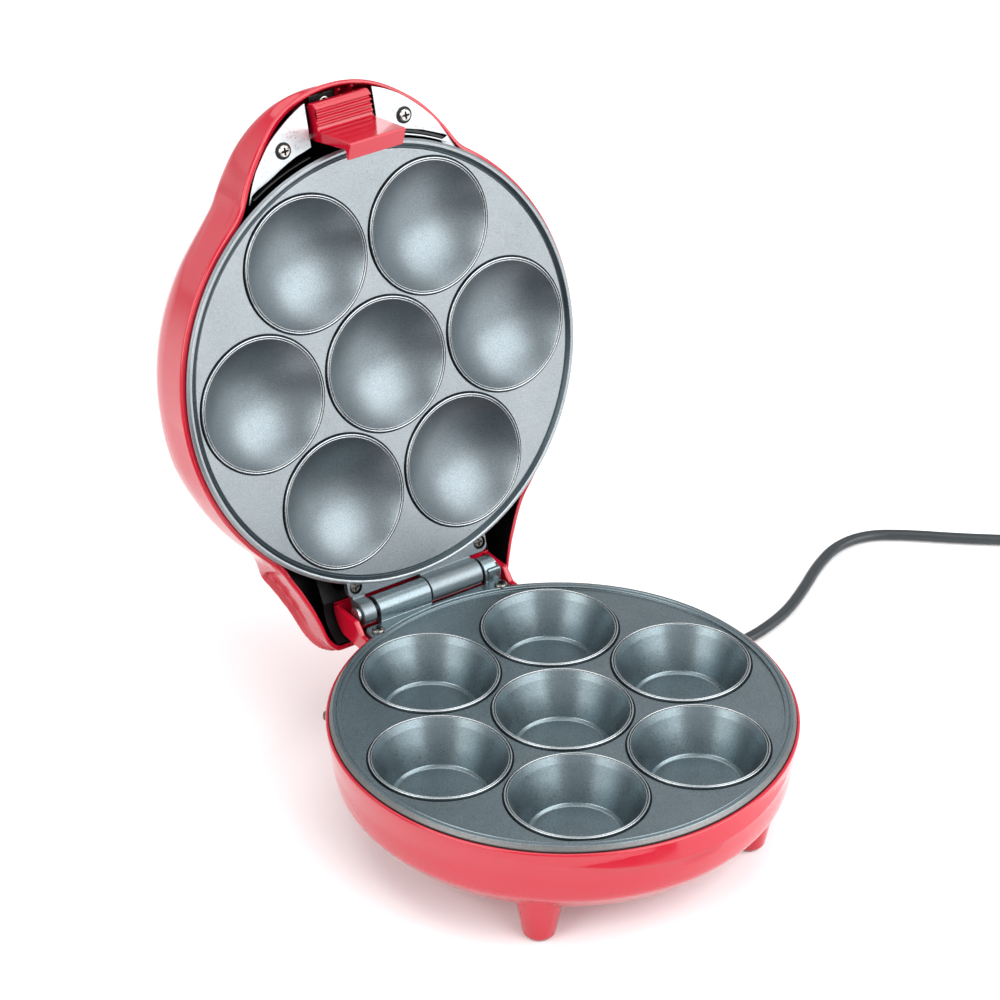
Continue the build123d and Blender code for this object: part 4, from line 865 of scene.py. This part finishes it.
# -------------------------------------------------------------- base shell
def base_shell():
    n = 540
    th = np.linspace(-math.pi, math.pi, n, endpoint=False)
    body_r = np.array([92.8, 94.7, 97.9, 101.9, 103.4, 104.2, 105.6, 106.2])
    body_z = np.array([20.0, 21.5, 25.0, 30.0, 36.0, 44.0, 52.0, 57.4])
    sm = catmull(list(zip(body_r, body_z)), 8)

    def body_at(z):
        return np.interp(z, sm[:, 1], sm[:, 0])

    def visor_at(t, z):
        rv = np.interp(z, [44.0, 57.4], [99.2, 96.77])
        c = 9.43
        return -c * math.sin(t) * 1.0 + math.sqrt(max(rv ** 2 - (c * math.cos(t)) ** 2, 0))

    rows = []
    for t in th:
        s = math.sin(t)
        x = abs(104.5 * math.cos(t))
        on = s < 0 and x < 88.0
        za = np.interp(x, [0, 20, 40, 60, 75, 85, 88], [48.0, 48.35, 49.4, 51.2, 52.9, 54.4, 55.0]) if on else 55.0
        line = [(0.0, 20.0), (60.0, 20.0), (90.5, 20.0)]
        line += [(91.9, 20.1), (92.9, 20.5), (93.8, 21.0)] + [(float(r), float(z)) for r, z in sm if 21.4 < z < 43.0]
        pocket = s < 0 and x < 17.0                       # the catch for the hook, under the lip
        if pocket:
            line = [(min(r, 103.45 / -s) if z > 41.2 else r, z) for r, z in line]
        for z in np.linspace(43.0, za - 0.35, 6):
            line.append((min(body_at(z), 103.45 / -s) if pocket else body_at(z), z))
        rb = min(body_at(za), 103.45 / -s) if pocket else body_at(za)
        out = max(visor_at(t, za) if on else 0.0, rb + 0.02) - rb
        fade = min(max((88.0 - x) / 12.0, 0), 1) if on else 0.0
        out *= fade * fade * (3 - 2 * fade)
        # a small rounded lip where the visor stands out
        for k in range(5):
            a = math.pi / 2 * k / 4
            line.append((rb + out * (0.5 - 0.5 * math.cos(2 * a)), za - 0.3 + 0.25 * k / 4 * (1 if out > 0.3 else 1)))
        z_top = 56.5
        for k, z in enumerate(np.linspace(za + 0.35, z_top, 7)):
            rbz = body_at(z)
            ov = max((visor_at(t, z) if on else 0.0) - rbz, 0.0)
            f = fade * fade * (3 - 2 * fade)
            line.append((rbz + ov * f, z))
        rt = line[-1][0]
        for a in np.linspace(0, math.pi / 2, 6)[1:]:
            line.append((rt - 0.95 + 0.95 * math.cos(a), z_top + 0.9 * math.sin(a)))
        line += [(105.0, 57.4), (104.75, 57.3), (104.6, 57.1), (104.5, 55.6), (104.5, 55.0), (101.6, 55.0), (101.6, 44.0), (100.7, 36.4), (99.2, 31.6), (95.6, 27.2), (91.6, 23.0), (60.0, 23.0), (0.0, 23.0)]
        rows.append(line)
    rows = np.array(rows)
    b = Build()
    m = rows.shape[1]
    c, s = np.cos(th), np.sin(th)
    for j in range(m):
        b.v += [(float(rows[i, j, 0] * c[i]), float(rows[i, j, 0] * s[i]), float(rows[i, j, 1])) for i in range(n)]
    for j in range(m - 1):
        for i in range(n):
            i1 = (i + 1) % n
            b.f.append((j * n + i, j * n + i1, (j + 1) * n + i1, (j + 1) * n + i))
    b.m += [0] * len(b.f)
    # legs: tapered, flared into the bowl, rounded at the foot
    for x, y in ((57.6, -64.6), (-57.6, -64.6), (42.0, 86.0), (-42.0, 86.0)):
        top = 27.5 if y < 0 else 31.0
        prof = rounded([(0, 0.55), (6.35, 0.55), (7.35, 1.9), (7.6, 3.2), (10.9, 20.6), (11.6, 25.0), (11.8, top)],
                       {1: 0.4, 2: 1.0, 3: 2.0, 4: 6.0, 5: 2.5}, 5)
        b.add(*lathe(prof + [(0, top)], 56, x, y))
    # hinge guard: a trough behind the hinge with an ear at each side
    a = np.linspace(math.radians(-66), 0.0, 18)
    outer = [(HY + 14.6 * math.cos(v), HZ + 14.6 * math.sin(v)) for v in a] + [(HY + 14.55, 62.5)]
    inner = [(HY + 12.2, 62.5)] + [(HY + 12.2 * math.cos(v), HZ + 12.2 * math.sin(v)) for v in a[::-1]]
    b.add(*extrude_poly(rounded(outer + inner + [outer[0]], {len(outer) - 1: 0.6, len(outer): 0.6}, 3)[:-1], "x", -41.4, 43.9, 0.3))
    ear = [(98.0, 49.3), (105.98, 49.29)] + [(HY + 14.6 * math.cos(v), HZ + 14.6 * math.sin(v)) for v in np.linspace(math.radians(-66), math.radians(-3), 16)]
    ear += [(HY + 14.0, 62.5), (107.2, 62.5), (101.8, 57.35), (98.0, 57.35)]
    ear = rounded(ear + [ear[0]], {len(ear) - 4: 1.0, len(ear) - 3: 1.2, len(ear) - 2: 1.0}, 4)[:-1]
    for x0, x1 in ((-41.5, -38.9), (40.9, 44.0)):
        b.add(*extrude_poly(ear, "x", x0, x1, 0.8, 4))
    b.add(*extrude_poly([(96.0, 49.3), (108.0, 49.3), (108.0, 51.6), (103.4, 53.2), (96.0, 53.2)], "x", -41.0, 41.0, 0.2))
    return b.obj("base_shell_moulded", BASE_M, [MAT["red_plastic"]], "base", ("base_shell",), "red_plastic", sharp=40.0)


# -------------------------------------------------------------------- latch
def latch():
    b = Build()
    w = 14.75
    body = rounded_loop([(-126.3, 70.2), (-126.0, 75.9), (-115.2, 76.3), (-113.4, 80.2), (-110.5, 81.0), (-108.5, 80.0), (-108.5, 47.75), (-103.9, 47.7), (-103.8, 46.9),
                         (-111.5, 42.6), (-112.1, 43.4), (-114.0, 69.6)],
                        [1.2, 1.6, 2.0, 1.5, 1.5, 1.0, 0.5, 0.35, 0.35, 0.7, 0.6, 1.4], 5)
    b.add(*extrude_poly(body, "x", -w, w, 0.5, 4))
    # soft ridges of the finger grip
    ys = np.linspace(-125.45, -115.25, 69)
    wave = [(y, 69.35 - 0.62 * math.cos((y + 116.6) / 2.48 * 2 * math.pi)) for y in ys]
    b.add(*extrude_poly([(-115.25, 71.6)] + wave[::-1] + [(-125.45, 71.6)], "x", -w + 0.1, w - 0.1, 0.3, 3))
    return b.obj("latch_moulded", LID_M, [MAT["red_plastic"]], "latch", ("latch",), "red_plastic", sharp=50.0)


# ------------------------------------------------------------------ bracket
def bracket():
    b = Build()
    outer = {-1: [(17.7, -127.0), (19.5, -126.4), (26.0, -123.0), (33.2, -118.2), (38.2, -114.2), (42.4, -109.6), (47.8, -102.4), (51.2, -95.6), (53.0, -90.9), (53.4, -89.0)],
             1: [(17.7, -126.2), (25.2, -122.9), (33.2, -117.9), (41.1, -111.0), (47.6, -103.9), (52.0, -96.9), (54.6, -92.0), (57.4, -87.0)]}
    inner = {-1: [(52.2, -90.4), (50.4, -93.7), (41.4, -97.7), (33.5, -101.6), (26.6, -104.5), (21.9, -105.7), (17.7, -106.9)],
             1: [(56.0, -86.6), (50.6, -89.9), (49.6, -92.4), (53.2, -93.6), (52.6, -94.4), (47.2, -96.9), (41.0, -99.7), (32.8, -102.4), (25.0, -104.7), (17.7, -106.7)]}
    for sgn in (-1, 1):
        out = [tuple(p) for p in catmull(outer[sgn], 5)]
        low = inner[sgn] if sgn > 0 else [tuple(p) for p in catmull(inner[sgn], 4)]
        poly = [(sgn * x, y) for x, y in out + low]
        b.add(*extrude_poly(poly, "z", 72.6, 73.6, 0.18, 2))
        # the posts up to the top screw, in the near-black copy of the steel (painted shade)
        b.add(*extrude_poly([(sgn * 17.6, -122.2), (sgn * 18.8, -122.2), (sgn * 18.8, -109.0), (sgn * 17.6, -109.0)], "z", 72.62, 85.2, 0.2, 2), 1)
    b.add(*extrude_poly([(-18.8, -122.2), (18.8, -122.2), (18.8, -109.0), (-18.8, -109.0)], "z", 84.0, 85.2, 0.2, 2), 1)
    b.add(*extrude_poly([(-9.0, -126.5), (5.0, -126.5), (5.0, -121.0), (-9.0, -121.0)], "z", 84.0, 85.2, 0.2, 2), 1)
    # the fold under the wings: a curved strip standing behind the plate's edge, with two strips in the near-black copy
    # of the steel that paint the shade beside it
    for a0, a1, r0, r1, z0, z1, mat in ((-60.0, -79.0, 104.9, 105.5, 70.4, 73.4, 0), (-60.5, -79.5, 105.9, 107.0, 73.9, 74.7, 1), (-101.0, -119.5, 104.7, 105.2, 70.6, 73.4, 1)):
        t = np.radians(np.linspace(a0, a1, 26))
        ring = [(r0 * math.cos(v), r0 * math.sin(v)) for v in t] + [(r1 * math.cos(v), r1 * math.sin(v)) for v in t[::-1]]
        b.add(*extrude_poly(ring, "z", z0, z1, 0.12, 2), mat)
    return b.obj("latch_bracket_pressed", LID_M, [MAT["polished_steel"], MAT["bracket_dark"]], "lid", ("latch_bracket",), "polished_steel", sharp=30.0)


# ------------------------------------------------------------------- screws
def screw_head(b, cx, cy, z, up, r=3.0, h=1.7, washer=0.0):
    """A pan head with a cross recess; up is +1 or -1 for the way it faces."""
    prof = [(r, z), (r, z + up * h * 0.3)]
    for a in np.linspace(0.12, 1.0, 6):
        prof.append((r * (0.72 + 0.28 * math.cos(a * math.pi / 2)), z + up * (h * 0.3 + h * 0.7 * math.sin(a * math.pi / 2))))
    segs = 48
    rt = prof[-1][0]
    zt = prof[-1][1]
    b.add(*lathe([(0, z)] + prof, segs, cx, cy), 0)
    # the flat top with a cross cut into it
    from mathutils.geometry import delaunay_2d_cdt

    w, L = 0.5, rt * 0.92
    cross = [(w, w), (L, w * 0.8), (L, -w * 0.8), (w, -w), (w * 0.8, -L), (-w * 0.8, -L), (-w, -w), (-L, -w * 0.8), (-L, w * 0.8), (-w, w), (-w * 0.8, L), (w * 0.8, L)]
    ring = [(rt * math.cos(2 * math.pi * k / segs), rt * math.sin(2 * math.pi * k / segs)) for k in range(segs)]
    pts = [Vector(p) for p in ring + cross]
    edges = [(k, (k + 1) % segs) for k in range(segs)] + [(segs + k, segs + (k + 1) % 12) for k in range(12)]
    v, _, f, *_ = delaunay_2d_cdt(pts, edges, [], 1, 1e-6)

    def in_cross(p):
        return (abs(p.x) < w and abs(p.y) < L) or (abs(p.y) < w and abs(p.x) < L)

    faces = [tuple(t) for t in f if not in_cross(sum((Vector(v[i]) for i in t), Vector((0, 0))) / 3)]
    b.add([(cx + p[0], cy + p[1], zt) for p in v], faces, 0)
    depth = 1.15
    low = [(cx + p[0] * 0.72, cy + p[1] * 0.72, zt - up * depth) for p in cross]
    hi = [(cx + p[0], cy + p[1], zt) for p in cross]
    # the cross's walls and floor in near-black, painted shade
    b.add(hi + low, [(k, (k + 1) % 12, 12 + (k + 1) % 12, 12 + k) for k in range(12)] + [tuple(range(12, 24))], 1)
    # the shank, out of sight
    b.add(*lathe([(0, z - up * 6.0), (1.4, z - up * 6.0), (1.4, z + up * 0.1), (0, z + up * 0.1)], 20, cx, cy), 0)


def screws():
    b = Build()
    for x in (-34.1, 34.1):
        screw_head(b, x, 98.6, 59.5, 1, 3.0, 1.75)
    b.obj("lower_plate_screws_pan", BASE_M, [MAT["screw_pan"], MAT["recess"]], "base", ("lower_plate_screws",), "screw_steel", sharp=35.0)
    b = Build()
    for x in (-34.2, 34.7):
        screw_head(b, x, 99.2, 67.8, -1, 2.75, 1.0)
    b.obj("upper_plate_screws_pan", LID_M, [MAT["screw_dark"], MAT["recess"]], "lid", ("upper_plate_screws",), "screw_steel", sharp=35.0)
    b = Build()
    for x, y, z in ((32.2, -109.0, 72.5), (-32.2, -109.0, 72.5), (-2.0, -122.6, 83.9)):
        screw_head(b, x, y, z, -1, 2.9, 1.6)
        # a near-black ring round each head, a painted shadow
        b.add(*lathe([(2.7, z - 0.02), (2.7, z - 0.35), (3.75, z - 0.35), (3.95, z - 0.2), (3.95, z + 0.05), (2.7, z + 0.05)], 48, x, y), 1)
    b.obj("bracket_screws_pan", LID_M, [MAT["screw_steel"], MAT["recess"]], "lid", ("bracket_screws",), "screw_steel", sharp=35.0)


lower_plate()
upper_plate()
lid_shell()
base_shell()
latch()
bracket()
screws()


# ----------------------------------------------------- a softening step for CAD nodes, defined but not called
def soften(names, width, segments=3, angle=28.0):
    for n in names:
        o = frame["nodes"][n]
        w = o.modifiers.new("join", "WELD")
        w.merge_threshold = 0.000002
        d = o.modifiers.new("clean", "DECIMATE")
        d.decimate_type = "DISSOLVE"
        d.angle_limit = math.radians(0.2)
        b = o.modifiers.new("edge_round", "BEVEL")
        b.width = width
        b.segments = segments
        b.limit_method = "ANGLE"
        b.angle_limit = math.radians(angle)
        b.harden_normals = False
        b.use_clamp_overlap = True
        wn = o.modifiers.new("normals", "WEIGHTED_NORMAL")
        wn.keep_sharp = True


# ------------------------------------------------------------------ stage
def make_stage():
    me = bpy.data.meshes.new("studio_floor")
    bm = bmesh.new()
    bmesh.ops.create_grid(bm, x_segments=8, y_segments=8, size=14.0)
    bm.to_mesh(me)
    bm.free()
    floor = bpy.data.objects.new("studio_floor", me)
    SCENE.collection.objects.link(floor)
    floor.location = (0, 0, 0)
    m, nt, b = new_material("studio_paper")
    v = coords(nt)
    nt.links.new(ramp(nt, noise(nt, v, 3.0, 2.0), [(0.3, (0.93, 0.93, 0.935)), (0.7, (0.945, 0.945, 0.95))]), b.inputs["Base Color"])
    b.inputs["Roughness"].default_value = 0.9
    b.inputs["Specular IOR Level"].default_value = 0.1
    me.materials.append(m)
    return floor


make_stage()


def softbox(name, az, el, dist, size, power, color=(1, 1, 1), target=(0.0, 0.0, 0.14), size_y=None):
    a, e = math.radians(az), math.radians(el)
    back = Vector((math.sin(a) * math.cos(e), -math.cos(a) * math.cos(e), math.sin(e)))
    data = bpy.data.lights.new(name, "AREA")
    data.shape = "RECTANGLE"
    data.size = size
    data.size_y = size_y or size
    data.energy = power
    data.color = color
    o = bpy.data.objects.new(name, data)
    SCENE.collection.objects.link(o)
    o.location = Vector(target) + back * dist
    o.rotation_mode = "QUATERNION"
    o.rotation_quaternion = back.to_track_quat("Z", "Y")
    return o


softbox("softbox_right", 28.0, 33.0, 2.2, 2.8, 70.0, size_y=2.1)
softbox("softbox_left", -82.0, 28.0, 2.2, 1.4, 27.0, (1.0, 0.985, 0.96))
softbox("softbox_top", 165.0, 80.0, 2.3, 2.5, 40.0)


def flag(name, az0, az1, r0, r1, z, shade):
    """A dark card lying in front of the product that only reflections see, so that the upper band of the wall mirrors a dim room."""
    verts, faces = [], []
    na, nr = 24, 6
    for i in range(na + 1):
        for j in range(nr + 1):
            a = math.radians(az0 + (az1 - az0) * i / na)
            r = r0 + (r1 - r0) * j / nr
            verts.append((r * math.sin(a), -r * math.cos(a), z))
    for i in range(na):
        for j in range(nr):
            k = i * (nr + 1) + j
            faces.append((k, k + 1, k + nr + 2, k + nr + 1))
    me = bpy.data.meshes.new(name)
    me.from_pydata(verts, [], faces)
    m, nt, bs = new_material(name)
    v = coords(nt)
    nt.links.new(ramp(nt, noise(nt, v, 1.5, 2.0), [(0.3, (0.9 * shade,) * 3), (0.7, (shade,) * 3)]), bs.inputs["Base Color"])
    bs.inputs["Roughness"].default_value = 1.0
    bs.inputs["Specular IOR Level"].default_value = 0.0
    me.materials.append(m)
    o = bpy.data.objects.new(name, me)
    SCENE.collection.objects.link(o)
    o.visible_camera = o.visible_diffuse = o.visible_shadow = o.visible_transmission = o.visible_volume_scatter = False
    return o


flag("dim_card_front", -95.0, 5.0, 0.30, 2.2, 0.004, 0.04)

world = bpy.data.worlds.new("studio_world")
world.use_nodes = True
SCENE.world = world
wt = world.node_tree
wt.nodes.clear()
w_out = wt.nodes.new("ShaderNodeOutputWorld")
w_bg = wt.nodes.new("ShaderNodeBackground")
w_tc = wt.nodes.new("ShaderNodeTexCoord")
w_sep = wt.nodes.new("ShaderNodeSeparateXYZ")
wt.links.new(w_tc.outputs["Generated"], w_sep.inputs[0])
w_ramp = wt.nodes.new("ShaderNodeValToRGB")
els = w_ramp.color_ramp.elements
els[0].position, els[0].color = 0.0, (0.98, 0.98, 0.99, 1)
els[1].position, els[1].color = 1.0, (0.30, 0.305, 0.315, 1)
e = els.new(0.38); e.color = (0.92, 0.93, 0.94, 1)
e = els.new(0.58); e.color = (0.68, 0.69, 0.71, 1)
e = els.new(0.8); e.color = (0.36, 0.37, 0.38, 1)
wt.links.new(w_sep.outputs[2], w_ramp.inputs[0])
wt.links.new(w_ramp.outputs[0], w_bg.inputs[0])
w_bg.inputs[1].default_value = 0.92
wt.links.new(w_bg.outputs[0], w_out.inputs[0])
SCENE.view_settings.view_transform = "Standard"
